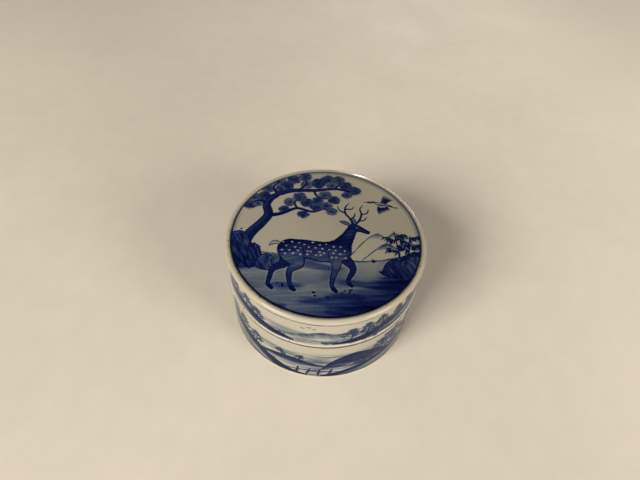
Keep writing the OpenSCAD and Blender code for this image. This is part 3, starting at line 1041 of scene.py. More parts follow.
def arc(center, radius, start, end, steps=ARC_STEPS):
    """Points on an arc of a section: center + radius (cos a, sin a), for a from start to end in degrees."""
    angle = np.radians(np.linspace(start, end, steps + 1))
    return np.column_stack([center[0] + radius * np.cos(angle), center[1] + radius * np.sin(angle)])


def section(*stretches, spacing=None):
    """Joins arcs and corners into one row without doubles, with a point every `spacing` on straight runs."""
    corners = np.vstack([np.atleast_2d(stretch) for stretch in stretches])
    length = np.hypot(*np.diff(corners, axis=0).T)
    keep = np.concatenate([[True], length > TINY])
    corners = corners[keep]
    if spacing is None:
        return corners
    legs = []
    for a, b in zip(corners[:-1], corners[1:]):
        count = max(1, int(round(math.dist(a, b) / spacing)))
        legs.append(np.linspace(a, b, count, endpoint=False))
    return np.vstack([*legs, corners[-1:]])


def out_of_round(points, phase):
    """The slight warp of a fired pot: its radius swings two and three times round, by about 0.1 mm."""
    turn = np.arctan2(points[:, 1], points[:, 0])
    share = 1 + 0.0014 * np.sin(2 * turn + phase) + 0.0009 * np.sin(3 * turn + 2.3 * phase)
    return points * np.column_stack([share, share, np.ones(len(points))])


def new_piece(name, points, faces, phase):
    """A smooth mesh object from points and arrays of faces, with its hard edges kept."""
    mesh = bpy.data.meshes.new(name)
    corners = np.concatenate([part.ravel() for part in faces])
    sizes = np.concatenate([np.full(len(part), part.shape[1]) for part in faces])
    starts = np.concatenate([[0], np.cumsum(sizes)[:-1]])
    mesh.vertices.add(len(points))
    mesh.vertices.foreach_set("co", out_of_round(points, phase).astype(np.float32).ravel())
    mesh.loops.add(len(corners))
    mesh.loops.foreach_set("vertex_index", corners.astype(np.int32))
    mesh.polygons.add(len(sizes))
    mesh.polygons.foreach_set("loop_start", starts.astype(np.int32))
    mesh.polygons.foreach_set("use_smooth", np.ones(len(sizes), bool))
    mesh.update(calc_edges=True)
    if mesh.validate():
        raise RuntimeError(f"{name} has faces that aren't valid")
    mesh.set_sharp_from_angle(angle=SHARP_ANGLE)
    piece = bpy.data.objects.new(name, mesh)
    bpy.context.scene.collection.objects.link(piece)
    return piece


def turned(name, points, steps, phase):
    """Sweeps a section once round the axis: (r, z) at turn a goes to (r cos a, r sin a, z).
    The section runs anticlockwise, so that faces point out. One that starts and ends on the axis closes in
    two poles there, and any other closes on itself."""
    area = np.sum(points[:, 0] * np.roll(points[:, 1], -1) - np.roll(points[:, 0], -1) * points[:, 1])
    if area < 0:
        raise ValueError(f"the section of {name} runs clockwise")
    on_axis = points[0, 0] < TINY
    rings = points[1:-1] if on_axis else points
    count = len(rings)
    turn = -math.pi / 2 + 2 * math.pi * np.arange(steps) / steps
    grid = np.empty((steps, count, 3))
    grid[..., 0] = np.cos(turn)[:, None] * rings[:, 0]
    grid[..., 1] = np.sin(turn)[:, None] * rings[:, 0]
    grid[..., 2] = rings[:, 1]
    here = np.arange(steps)[:, None] * count
    beside = np.roll(here, -1, axis=0)
    ring = np.arange(count - 1 if on_axis else count)
    above = (ring + 1) % count
    quads = np.stack([here + ring, beside + ring, beside + above, here + above], axis=-1).reshape(-1, 4)
    vertices = grid.reshape(-1, 3)
    if not on_axis:
        return new_piece(name, vertices, [quads], phase)
    first = np.full(steps, len(vertices))
    here = here.ravel()
    beside = beside.ravel()
    poles = np.column_stack([np.zeros((2, 2)), points[[0, -1], 1]])
    fans = np.vstack([np.column_stack([first, beside, here]),
                      np.column_stack([first + 1, here + count - 1, beside + count - 1])])
    return new_piece(name, np.vstack([vertices, poles]), [quads, fans], phase)


def disc(name, radius, low, high, steps, phase):
    """A flat disc: squares of a grid pushed out to circles, so that (s, t) lands at the radius max(|s|, |t|).
    A short wall and a fan of triangles close it underneath."""
    line = np.linspace(-1, 1, steps + 1)
    s, t = np.meshgrid(line, line, indexing="ij")
    reach = np.maximum(np.abs(s), np.abs(t))
    safe = np.where(reach > 0, reach, 1)
    sideways = math.pi / 4 * t / safe * np.sign(s) + np.where(s < 0, math.pi, 0)
    upwards = np.sign(t) * math.pi / 2 - math.pi / 4 * s / safe * np.sign(t)
    turn = np.where(np.abs(s) >= np.abs(t), sideways, upwards)
    x = radius * reach * np.cos(turn)
    y = radius * reach * np.sin(turn)
    vertices = np.stack([x, y, np.full(s.shape, high)], axis=-1).reshape(-1, 3)
    index = np.arange((steps + 1) ** 2).reshape(steps + 1, steps + 1)
    quads = np.stack([index[:-1, :-1], index[1:, :-1], index[1:, 1:], index[:-1, 1:]], axis=-1).reshape(-1, 4)
    rim = np.concatenate([index[:-1, 0], index[-1, :-1], index[:0:-1, -1], index[0, :0:-1]])
    under = vertices[rim] * [1, 1, 0] + [0, 0, low]
    below = len(vertices) + np.arange(len(rim))
    wall = np.column_stack([rim, below, np.roll(below, -1), np.roll(rim, -1)])
    middle = np.full(len(rim), len(vertices) + len(rim))
    fan = np.column_stack([middle, np.roll(below, -1), below])
    points = np.vstack([vertices, under, [[0, 0, low]]])
    return new_piece(name, points, [quads, wall, fan], phase)


def set_attribute(piece, name, values):
    """Writes one number to each vertex."""
    attribute = piece.data.attributes.new(name, "FLOAT", "POINT")
    attribute.data.foreach_set("value", np.asarray(values, np.float32))


def set_map(piece, across, up):
    """Writes the place of each face corner on the piece's own map."""
    layer = piece.data.uv_layers.new(name="OFBake")
    layer.uv.foreach_set("vector", np.stack([across, up], axis=-1).astype(np.float32).ravel())


def vertex_places(piece):
    """Vertices as rows of x, y, z in millimetres."""
    places = np.empty(3 * len(piece.data.vertices), np.float32)
    piece.data.vertices.foreach_get("co", places)
    return places.reshape(-1, 3).astype(float) / MM


def wall_places(piece, radius):
    """Each vertex on an unrolled wall: its distance round from the front, and its height, in millimetres."""
    places = vertex_places(piece)
    turn = np.arctan2(places[:, 0], -places[:, 1])
    return turn * radius / MM, places[:, 2]


def map_wall(piece, points, outside):
    """The wall's own map: three rows of a third of a turn each. The first `outside` points of the section are
    drawn to scale, and the hidden ones share a narrow strip above them."""
    count = len(points)
    shown = np.concatenate([[0], np.cumsum(np.hypot(*np.diff(points[:outside], axis=0).T))])
    climb = np.empty(count + 1)
    climb[:outside] = np.interp(shown, (0, shown[-1]), MAP_SHOWN)
    climb[outside:] = np.linspace(*MAP_HIDDEN, count + 1 - outside)
    columns = WALL_STEPS // MAP_ROWS
    column, ring = np.divmod(np.arange(WALL_STEPS * count), count)
    row, place = np.divmod(column, columns)
    across = np.stack([place, place + 1, place + 1, place], axis=-1) / columns
    up = (row[:, None] + climb[np.stack([ring, ring, ring + 1, ring + 1], axis=-1)]) / MAP_ROWS
    set_map(piece, MAP_MARGIN + (1 - 2 * MAP_MARGIN) * across, up)


def map_disc(piece, radius, low):
    """The disc's own map: its top to scale, its wall folded out round it, and its underside, whose triangles
    come last, in a corner."""
    mesh = piece.data
    corners = np.empty(len(mesh.loops), np.int32)
    mesh.loops.foreach_get("vertex_index", corners)
    places = vertex_places(piece)[corners] * MM
    under = np.abs(places[:, 2] - low) < TINY
    flat = 0.5 + places[:, :2] * np.where(under, TOP_FOLD, 1)[:, None] * TOP_MAP / radius
    underside = slice(-3 * 4 * TOP_STEPS, None)
    flat[underside] = UNDER_MAP + places[underside, :2] * UNDER_MAP_RADIUS / radius
    set_map(piece, *flat.T)


# Sections of the two pieces, in metres


def bead_center(size):
    """Middle of the lip's round bead."""
    return (size.outside_radius + size.bead_out - size.bead_radius, size.seam_height + size.bead_radius)


def bead_arc(size, depth, steps=ARC_STEPS):
    """The glazed part of the bead, `depth` behind its surface, up to where it runs into the lid's wall."""
    radius = size.bead_radius - depth
    meets = math.degrees(math.acos((radius - size.bead_out) / radius))
    return arc(bead_center(size), radius, -LIP_GLAZE, meets, steps)


def roll_arc(size, depth, steps=ROLL_STEPS):
    """The roll round the lid's top, `depth` behind its surface, from the wall up to the flat top."""
    radius = size.roll_radius - depth
    meets = math.degrees(math.acos((radius - size.roll_out) / radius))
    center = (size.outside_radius + size.roll_out - size.roll_radius, size.top_height - size.roll_radius)
    return arc(center, radius, -meets, 90, steps)


def heel_center(size):
    """Middle of the round at the box's heel."""
    return (size.outside_radius - size.heel_radius, size.heel_radius)


def rim_center(size):
    """Middle of the round at the outer edge of the seating rim."""
    return (size.outside_radius - size.rim_radius, size.seam_height - size.rim_radius)


def recess_center(size):
    """Middle of the round in the corner inside the foot ring."""
    return (size.outside_radius - size.foot_width - size.recess_radius, size.foot_recess - size.recess_radius)


def lid_inside_radius(size):
    """Inner radius of the lid's wall."""
    return size.outside_radius - size.lid_wall


def flange_outer_radius(size):
    """Outer radius of the flange: the lid's inner radius less the clearance."""
    return lid_inside_radius(size) - size.flange_clearance


def box_inside_radius(size):
    """Inner radius of the flange and of the box."""
    return flange_outer_radius(size) - size.flange_thickness


def top_disc_radius(size):
    """Radius of the painted disc, a little inside the middle of the roll."""
    return size.outside_radius + size.roll_out - size.roll_radius - DISC_INSET


def lid_wall_section(size):
    """The lid's outer glaze: the lip's bead, the wall, the roll, a little way over the flat top, and back
    inside the glaze. Returns the section and how many of its points lie outside."""
    t = size.glaze_thickness
    disc_edge = top_disc_radius(size)
    outer = section(bead_arc(size, 0), roll_arc(size, 0), (disc_edge, size.top_height), spacing=ROW_STEP)
    inner = section((disc_edge, size.top_height - t), roll_arc(size, t, HIDDEN_STEPS)[::-1],
                    bead_arc(size, t, HIDDEN_STEPS)[::-1])
    return np.vstack([outer, inner]), len(outer)


def box_wall_section(size):
    """The box's outer glaze: up from the heel to the rim and back inside the glaze. Returns the section and
    how many of its points lie outside."""
    t = size.glaze_thickness
    heel = heel_center(size)
    rim = rim_center(size)
    outer = section(arc(heel, size.heel_radius, -HEEL_GLAZE, 0, EDGE_STEPS),
                    arc(rim, size.rim_radius, 0, RIM_GLAZE, EDGE_STEPS), spacing=ROW_STEP)
    inner = section(arc(rim, size.rim_radius - t, RIM_GLAZE, 0, HIDDEN_STEPS),
                    arc(heel, size.heel_radius - t, 0, -HEEL_GLAZE, HIDDEN_STEPS))
    return np.vstack([outer, inner]), len(outer)


def lid_inside_section(size, depth):
    """The lid's inner face, `depth` behind the surface: from the axis along the ceiling, down to the lip."""
    r = lid_inside_radius(size)
    ceiling = size.top_height - size.lid_top
    corner = (r - size.corner_radius, ceiling - size.corner_radius)
    return section((0, ceiling + depth), arc(corner, size.corner_radius + depth, 90, 0),
                   (r + depth, size.seam_height + INSIDE_BARE))


def box_inside_section(size, depth):
    """The box's inner face, `depth` behind the surface: from the flange down, along the floor to the axis."""
    r = box_inside_radius(size)
    floor = size.foot_recess + size.floor_thickness
    corner = (r - size.corner_radius, floor + size.corner_radius)
    return section((r + depth, size.flange_top - INSIDE_BARE),
                   arc(corner, size.corner_radius + depth, 0, -90), (0, floor - depth))


def base_section(size, depth):
    """The recessed base, `depth` behind the surface: from the axis out to the wall of the foot ring."""
    return section((0, size.foot_recess + depth),
                   arc(recess_center(size), size.recess_radius + depth, 90, RECESS_GLAZE))


def lid_clay_section(size):
    """The lid's clay: a glaze's thickness under the surface where it is glazed, and flush where bare."""
    t = size.glaze_thickness
    inside = lid_inside_radius(size)
    edge = (inside + size.rim_radius, size.seam_height + size.rim_radius)
    return section(lid_inside_section(size, t), (inside, size.seam_height + INSIDE_BARE),
                   arc(edge, size.rim_radius, 180, 270),
                   arc(bead_center(size), size.bead_radius, -90, -LIP_GLAZE),
                   bead_arc(size, t), roll_arc(size, t), (0, size.top_height - t))


def box_clay_section(size):
    """The box's clay: bare on the foot ring, the seat and the flange, and under the glaze elsewhere."""
    t = size.glaze_thickness
    heel = heel_center(size)
    rim = rim_center(size)
    foot = (size.outside_radius - size.foot_width + size.heel_radius, size.heel_radius)
    outer = flange_outer_radius(size)
    inner = box_inside_radius(size)
    crest = size.flange_top - size.flange_radius
    return section(base_section(size, t), arc(recess_center(size), size.recess_radius, RECESS_GLAZE, 0),
                   arc(foot, size.heel_radius, 180, 270),
                   arc(heel, size.heel_radius, -90, -HEEL_GLAZE),
                   arc(heel, size.heel_radius - t, -HEEL_GLAZE, 0),
                   arc(rim, size.rim_radius - t, 0, RIM_GLAZE), arc(rim, size.rim_radius, RIM_GLAZE, 90),
                   (outer, size.seam_height),
                   arc((outer - size.flange_radius, crest), size.flange_radius, 0, 90),
                   arc((inner + size.flange_radius, crest), size.flange_radius, 90, 180),
                   (inner, size.flange_top - INSIDE_BARE), box_inside_section(size, t))


# Finishes


def add_node(tree, kind, inputs=None, **settings):
    """A new node: settings are its own properties, and each input is a socket to link or a value to set."""
    made = tree.nodes.new(kind)
    for name, value in settings.items():
        setattr(made, name, value)
    for key, value in (inputs or {}).items():
        if isinstance(value, bpy.types.NodeSocket):
            tree.links.new(value, made.inputs[key])
        else:
            made.inputs[key].default_value = value
    return made


def math_node(tree, operation, a, b=0.0, c=0.0, clamp=False):
    """The result of one sum on values or sockets."""
    made = add_node(tree, "ShaderNodeMath", {0: a, 1: b, 2: c}, operation=operation, use_clamp=clamp)
    return made.outputs[0]


def vector_node(tree, operation, a, b=None):
    """The result of one sum on vectors or colours: a number for a length or a dot product."""
    inputs = {0: a}
    if b is not None:
        inputs["Scale" if operation == "SCALE" else 1] = b
    result = "Value" if operation in ("LENGTH", "DOT_PRODUCT") else "Vector"
    return add_node(tree, "ShaderNodeVectorMath", inputs, operation=operation).outputs[result]


def surface_place(tree):
    """Each point's place in the piece's own frame."""
    return add_node(tree, "ShaderNodeTexCoord").outputs["Object"]


def attribute_node(tree, name):
    """The number that the mesh keeps at each vertex, or 0 where it keeps none."""
    return add_node(tree, "ShaderNodeAttribute", attribute_name=name).outputs["Fac"]


def noise_node(tree, vector, scale, detail):
    """Noise of about 0.3 to 0.7, `scale` waves to the metre."""
    inputs = {"Vector": vector, "Scale": scale, "Detail": detail}
    return add_node(tree, "ShaderNodeTexNoise", inputs).outputs[0]


def range_node(tree, value, low, high, to_low=0.0, to_high=1.0):
    """Maps low..high to to_low..to_high and clamps it there."""
    inputs = {"Value": value, "From Min": low, "From Max": high, "To Min": to_low, "To Max": to_high}
    return add_node(tree, "ShaderNodeMapRange", inputs).outputs[0]


def mix_node(tree, share, a, b):
    """Blends two colours."""
    return add_node(tree, "ShaderNodeMix", {0: share, 6: a, 7: b}, data_type="RGBA").outputs[2]


def bump_node(tree, strength, distance, height):
    """The normal of a surface with this relief on it."""
    inputs = {"Strength": strength, "Distance": distance, "Height": height}
    return add_node(tree, "ShaderNodeBump", inputs).outputs[0]


def connect(tree, node, sources):
    """Links each named input of a node to its source."""
    for label, source in sources.items():
        tree.links.new(source, node.inputs[label])


def new_group(name, inputs, outputs):
    """An empty node group, as (group, what it is given, its output node). An input's value is its number at
    the start, or None for a colour, and the output Color is a colour too."""
    group = bpy.data.node_groups.new(name, "ShaderNodeTree")
    for label, default in inputs.items():
        kind = "NodeSocketColor" if default is None else "NodeSocketFloat"
        socket = group.interface.new_socket(label, in_out="INPUT", socket_type=kind)
        if default is not None:
            socket.default_value = default
    for label in outputs:
        kind = "NodeSocketColor" if label == "Color" else "NodeSocketFloat"
        group.interface.new_socket(label, in_out="OUTPUT", socket_type=kind)
    return group, group.nodes.new("NodeGroupInput").outputs, group.nodes.new("NodeGroupOutput")


def cobalt_group(name):
    """Colour of glaze over cobalt and iron, where the iron also carries painted shade. Each takes its share
    of the light, so a load d lets through the colour to the power d. Cobalt is greyer in a thin wash, gathers
    in grains, and heaps into dark spots where it lies thick."""
    inputs = {"Glaze": None, "Thin Glaze": None, "Thick Glaze": None, "Edge": 0.0, "Cobalt": 0.0, "Iron": 0.0,
              "Cobalt Color": None, "Wash Color": None, "Iron Color": None}
    group, given, result = new_group(name, inputs, ("Color", "Heap"))
    place = surface_place(group)
    uneven = range_node(group, noise_node(group, place, 60, 3), 0.3, 0.7, 0.55, 1.15)
    thin = math_node(group, "MULTIPLY", given["Edge"], uneven, clamp=True)
    thick = math_node(group, "MULTIPLY", given["Edge"], -1.0, clamp=True)
    ground = mix_node(group, thin, given["Glaze"], given["Thin Glaze"])
    ground = mix_node(group, thick, ground, given["Thick Glaze"])
    shade = range_node(group, noise_node(group, place, 34, 2), 0.3, 0.7, 0.95, 1.03)
    grain = range_node(group, noise_node(group, place, 1500, 3), 0.3, 0.7, 0.84, 1.16)
    dense = range_node(group, given["Cobalt"], 0.5, 0.9)
    spots = range_node(group, noise_node(group, place, 1100, 1), 0.60, 0.72)
    heap = math_node(group, "MULTIPLY", dense, spots)
    load = math_node(group, "MULTIPLY_ADD", given["Cobalt"], grain, math_node(group, "MULTIPLY", heap, 0.22))
    full = range_node(group, load, 0.15, 0.6)
    pigment = mix_node(group, full, given["Wash Color"], given["Cobalt Color"])
    color = vector_node(group, "MULTIPLY", ground, vector_node(group, "POWER", pigment, load))
    rust = vector_node(group, "POWER", given["Iron Color"], given["Iron"])
    color = vector_node(group, "MULTIPLY", color, rust)
    color = vector_node(group, "SCALE", color, shade)
    connect(group, result, {"Color": color, "Heap": heap})
    return group


def glaze_surface_group(name):
    """The skin of a fired glaze: slow waves, fine orange peel and a few pinholes, and duller on heaps."""
    group, given, result = new_group(name, {"Heap": 0.0, "Gloss": 0.1}, ("Roughness", "Height"))
    place = surface_place(group)
    patch = range_node(group, noise_node(group, place, 140, 3), 0.35, 0.7, 0.0, 0.06)
    rough = math_node(group, "ADD", given["Gloss"], patch)
    rough = math_node(group, "MULTIPLY_ADD", given["Heap"], 0.10, rough)
    waves = math_node(group, "MULTIPLY", noise_node(group, place, 150, 1), 1.6)
    peel = math_node(group, "MULTIPLY", noise_node(group, place, 650, 2), 0.35)
    cells = add_node(group, "ShaderNodeTexVoronoi", {"Vector": place, "Scale": 260.0})
    hole = range_node(group, cells.outputs["Distance"], 0.03, 0.07, 0.5, 0.0)
    height = math_node(group, "SUBTRACT", math_node(group, "ADD", waves, peel), hole)
    height = math_node(group, "MULTIPLY_ADD", given["Heap"], -0.2, height)
    connect(group, result, {"Roughness": rough, "Height": height})
    return group


def speck_group(name):
    """Brown specks of ash and iron: small dots in a few of the cells of a Voronoi pattern."""
    group, given, result = new_group(name, {"Scale": 180.0, "Share": 0.1, "Size": 0.1}, ("Mask",))
    place = surface_place(group)
    cells = add_node(group, "ShaderNodeTexVoronoi", {"Vector": place, "Scale": given["Scale"]}).outputs
    pick = add_node(group, "ShaderNodeSeparateColor", {0: cells["Color"]}).outputs
    chosen = math_node(group, "LESS_THAN", pick[0], given["Share"])
    size = math_node(group, "MULTIPLY", given["Size"], math_node(group, "ADD", pick[1], 0.4))
    out = math_node(group, "DIVIDE", cells["Distance"], size)
    dot = math_node(group, "MULTIPLY", chosen, math_node(group, "SUBTRACT", 1.0, out, clamp=True))
    connect(group, result, {"Mask": math_node(group, "MULTIPLY", dot, 1.6, clamp=True)})
    return group


def place_group(tree, name, maker, inputs):
    """What a shared node group gives in a material with these inputs. The group is made the first time that
    it is asked for."""
    shared = bpy.data.node_groups.get(name) or maker(name)
    return add_node(tree, "ShaderNodeGroup", inputs, node_tree=shared).outputs


def speck_mask(tree, scale, share, size):
    """Specks in a share of the cells, `scale` cells to the metre, with dots up to `size` of a cell."""
    inputs = {"Scale": scale, "Share": share, "Size": size}
    return place_group(tree, "Kiln Specks", speck_group, inputs)["Mask"]


def opaque(color, share=1.0):
    """A colour at a share of its brightness, with its alpha."""
    return (*(min(1.0, share * channel) for channel in color), 1.0)


def start_material(name):
    """A material with only its Principled shader, as (material, tree, shader)."""
    material = bpy.data.materials.new(name)
    material.use_nodes = True
    return material, material.node_tree, material.node_tree.nodes["Principled BSDF"]


def glaze_material(name, ground, cobalt, gloss):
    """Clear glaze with the vertex attributes cobalt, iron and edge under it; a piece without them is plain.
    The edge is 1 where the glaze runs thin and warm, and -1 where it gathers white; both shine more."""
    finish = bpy.context.scene.pot_finish
    material, tree, shader = start_material(name)
    edge = attribute_node(tree, "edge")
    specks = speck_mask(tree, 150.0, 0.055, 0.085)
    # Iron here is real stains and specks together with painted shade at the seam, the roll and the top
    iron = math_node(tree, "MULTIPLY_ADD", specks, 0.6, attribute_node(tree, "iron"))
    painted = place_group(tree, "Cobalt Under Glaze", cobalt_group, {
        "Glaze": ground, "Thin Glaze": opaque(finish.cream), "Thick Glaze": opaque(finish.thick_glaze),
        "Edge": edge, "Cobalt": attribute_node(tree, "cobalt"), "Iron": iron, "Cobalt Color": opaque(cobalt),
        "Wash Color": (cobalt[0], cobalt[1], WASH_BLUE * cobalt[2], 1.0), "Iron Color": opaque(finish.iron)})
    skin = place_group(tree, "Glaze Surface", glaze_surface_group, {"Heap": painted["Heap"], "Gloss": 0.1})
    shine = math_node(tree, "MULTIPLY_ADD", math_node(tree, "ABSOLUTE", edge), 0.5, gloss)
    shader.inputs["Specular IOR Level"].default_value = 0.02
    shader.inputs["Coat Roughness"].default_value = 0.1
    connect(tree, shader, {"Base Color": painted["Color"], "Roughness": skin["Roughness"],
                           "Coat Weight": shine, "Normal": bump_node(tree, 0.22, 0.12 * MM, skin["Height"])})
    return material


def clay_material():
    """Bare fired clay: matt and gritty, with rings of the turning tool, burnt orange beside the glaze, and
    dirt and painted shade in the seam.
    """
    finish = bpy.context.scene.pot_finish
    burnt = opaque(finish.burnt)
    material, tree, shader = start_material("bare_clay")
    place = surface_place(tree)
    mottle = range_node(tree, noise_node(tree, place, 300, 4), 0.35, 0.65)
    color = mix_node(tree, mottle, opaque(finish.clay), opaque(finish.clay, 1.12))
    patchy = range_node(tree, noise_node(tree, place, 160, 3), 0.35, 0.65, 0.35, 1.0)
    flush = math_node(tree, "MULTIPLY", attribute_node(tree, "flush"), patchy, clamp=True)
    color = mix_node(tree, flush, color, burnt)
    specks = speck_mask(tree, 420.0, 0.16, 0.16)
    color = mix_node(tree, math_node(tree, "MULTIPLY", specks, 0.7), color, burnt)
    # Dirt and painted shade in the seam
    color = mix_node(tree, attribute_node(tree, "soil"), color, opaque(finish.soil))
    radius = vector_node(tree, "LENGTH", vector_node(tree, "MULTIPLY", place, (1.0, 1.0, 0.0)))
    height = add_node(tree, "ShaderNodeSeparateXYZ", {0: place}).outputs["Z"]
    profile = add_node(tree, "ShaderNodeCombineXYZ", {"X": radius, "Y": height}).outputs[0]
    grit = noise_node(tree, place, 2400, 3)
    relief = math_node(tree, "MULTIPLY_ADD", noise_node(tree, profile, 2600, 1), 0.8, grit)
    connect(tree, shader, {"Base Color": color, "Roughness": range_node(tree, grit, 0.35, 0.65, 0.66, 0.86),
                           "Normal": bump_node(tree, 0.35, 0.1 * MM, relief)})
    return material


def floor_material(color):
    """A matt cream table top with faint clouds and a few faint marks, and painted light that makes it paler
    one way.
    """
    material, tree, shader = start_material("table_top")
    place = surface_place(tree)
    fine = math_node(tree, "MULTIPLY", noise_node(tree, place, 90, 4), 0.5)
    clouds = math_node(tree, "ADD", noise_node(tree, place, 9, 4), fine)
    base = mix_node(tree, range_node(tree, clouds, 0.55, 0.95), opaque(color, 0.93), opaque(color))
    marks = math_node(tree, "MULTIPLY", speck_mask(tree, 34.0, 0.05, 0.05), 0.6)
    base = mix_node(tree, marks, base, opaque(color, 0.72))
    # Painted light: the table's colour grows paler towards the far right
    across = vector_node(tree, "DOT_PRODUCT", place, FLOOR_PAINTED_LIGHT_WAY)
    base = vector_node(tree, "SCALE", base, range_node(tree, across, 0.03, 0.33, 1.0, 1.34))
    rough = range_node(tree, noise_node(tree, place, 25, 3), 0.3, 0.7, 0.6, 0.75)
    shader.inputs["Specular IOR Level"].default_value = 0.04
    connect(tree, shader, {"Base Color": base, "Roughness": rough})
    return material


# Operators


def finish_piece(piece, body, material):
    """Gives a piece its finish and its place on a body."""
    piece.data.materials.append(material)
    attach(piece, body)


def near_edges(piece, edges, reach):
    """1 beside the circles (r, z) where the glaze ends, and less with distance, over `reach` millimetres."""
    places = vertex_places(piece)
    radius = np.hypot(places[:, 0], places[:, 1])
    away = np.min([np.hypot(radius - r / MM, places[:, 2] - z / MM) for r, z in edges], axis=0)
    return np.exp(-away / reach)


def seam_soil_and_shade(piece, size):
    """Dirt and painted shade in the seam: 0.9 beside the seating rim's outer edge, and none from 1.5 mm in or
    1.3 mm away.
    """
    places = vertex_places(piece)
    outward = np.hypot(places[:, 0], places[:, 1]) - size.outside_radius / MM
    beside = np.abs(places[:, 2] - size.seam_height / MM)
    return 0.9 * ease(-1.5, -0.8, outward) * ease(1.3, 0.7, beside)


class PORCELAIN_OT_clay(bpy.types.Operator):
    """Turn the clay of the lid and of the box"""

    bl_idname = "porcelain.clay"
    bl_label = "Clay bodies"

    def execute(self, context):
        size = context.scene.pot_sizes
        outside = size.outside_radius
        seam = size.seam_height
        lid_edges = [(outside, seam), (lid_inside_radius(size), seam + INSIDE_BARE)]
        box_edges = [(outside, seam), (box_inside_radius(size), size.flange_top - INSIDE_BARE),
                     (outside - HEEL_BARE, 0), (outside - size.foot_width, RECESS_BARE)]
        material = clay_material()
        for body, points, edges in (("lid", lid_clay_section(size), lid_edges),
                                    ("box", box_clay_section(size), box_edges)):
            piece = turned(f"{body}_body", points, CLAY_STEPS, PHASE[body])
            set_attribute(piece, "flush", near_edges(piece, edges, 0.7))
            set_attribute(piece, "soil", seam_soil_and_shade(piece, size))
            finish_piece(piece, body, material)
            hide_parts(body)
        return {"FINISHED"}


def from_border(piece, size):
    """How far each vertex lies outside the lid's border line, in millimetres, and its share of the way from
    the far side of the lid to the near one."""
    places = vertex_places(piece)
    border = (top_disc_radius(size) - BORDER_INSET) / MM
    away = np.hypot(places[:, 0], places[:, 1] + BORDER_SHIFT) - border
    return away, 0.5 - 0.5 * places[:, 1] / border


def border_haze_and_shade(away, near):
    """Iron and painted shade round the border line: a brown haze that darkens the roll's inner edge and fades
    out over the roll, strongest at the near side.
    """
    return (0.18 + 0.4 * near) * ease(0.8 + 0.8 * near, 0.35, away) * ease(-0.6, -0.1, away)


def border_pits(x, y, radius):
    """Iron in small pits beside the roll, most of them at the near side and to its left: round spots with
    soft edges."""
    rng = np.random.default_rng(141)
    middle = math.radians(-108)
    soft = 0.16
    stain = np.zeros(len(x))
    for _ in range(34):
        angle = middle + 0.75 * rng.normal()
        out = radius - 0.75 * rng.random()
        size = 0.24 + 0.3 * rng.random() ** 2
        gap = np.hypot(x - out * math.cos(angle), y - out * math.sin(angle))
        stain = np.maximum(stain, (0.4 + 0.5 * rng.random()) * ease(size + soft, size - soft, gap))
    return stain


class PORCELAIN_OT_painted_top(bpy.types.Operator):
    """Paint and glaze the lid's round top"""

    bl_idname = "porcelain.painted_top"
    bl_label = "Painted top"

    def execute(self, context):
        size = context.scene.pot_sizes
        finish = context.scene.pot_finish
        radius = top_disc_radius(size)
        low = size.top_height - size.glaze_thickness
        piece = disc("lid_top_glaze", radius, low, size.top_height, TOP_STEPS, PHASE["lid"])
        map_disc(piece, radius, low)
        x, y, _ = vertex_places(piece).T
        away, near = from_border(piece, size)
        # Painted shade: iron that makes the top darker towards the right and the back
        haze = 0.10 * ease(-25, 35, x + 0.5 * y)
        # The border's haze is partly painted shade on the roll's inner edge
        iron = np.maximum.reduce([border_haze_and_shade(away, near), haze, border_pits(x, y, radius / MM)])
        set_attribute(piece, "cobalt", paint_lid_top((radius - BORDER_INSET) / MM).sample(x, y))
        set_attribute(piece, "iron", iron)
        set_attribute(piece, "edge", ease(0.7, 1.5, away))
        # The darker glaze of the top is painted shade
        material = glaze_material("top_glaze", opaque(finish.top_glaze), finish.cobalt, 0.2)
        finish_piece(piece, "lid", material)
        return {"FINISHED"}


class PORCELAIN_OT_painted_walls(bpy.types.Operator):
    """Paint and glaze the outer walls of the lid and of the box"""

    bl_idname = "porcelain.painted_walls"
    bl_label = "Painted walls"

    def execute(self, context):
        size = context.scene.pot_sizes
        finish = context.scene.pot_finish
        material = glaze_material("wall_glaze", opaque(finish.glaze), finish.wall_cobalt, 0.12)
        half_turn = math.pi * size.outside_radius / MM
        seam = size.seam_height / MM
        top = size.top_height / MM

        lid, across, height = self.turn_wall("lid", *lid_wall_section(size), size.outside_radius)
        stain = stain_lid_wall(half_turn, seam, top).sample(across, height)
        # Dirt and painted shade: darker where the bead turns under into the seam, and round the roll's inner
        # edge
        soil = np.maximum(ease(seam + 0.85, seam + 0.4, height), border_haze_and_shade(*from_border(lid, size)))
        on_bead = ease(seam + 0.4, seam + 0.9, height) * ease(seam + 2.5, seam + 2.2, height)
        on_roll = ease(top - 2.8, top - 2.3, height)
        set_attribute(lid, "cobalt", paint_lid_wall(half_turn, seam, top).sample(across, height))
        set_attribute(lid, "iron", np.maximum(stain, soil))
        set_attribute(lid, "edge", on_roll - on_bead)
        finish_piece(lid, "lid", material)

        box, across, height = self.turn_wall("box", *box_wall_section(size), size.outside_radius)
        at_ends = np.maximum(ease(1.2, 0.36, height), ease(seam - 1.2, seam - 0.48, height))
        set_attribute(box, "cobalt", paint_box_wall(half_turn, 0, seam).sample(across, height))
        set_attribute(box, "iron", stain_box_wall(half_turn, 0, seam).sample(across, height))
        set_attribute(box, "edge", at_ends)
        finish_piece(box, "box", material)
        return {"FINISHED"}

    def turn_wall(self, body, points, outside, radius):
        """A body's outer wall with its own map, as (piece, distance round, height) for its vertices."""
        piece = turned(f"{body}_side_glaze", points, WALL_STEPS, PHASE[body])
        map_wall(piece, points, outside)
        return (piece, *wall_places(piece, radius))


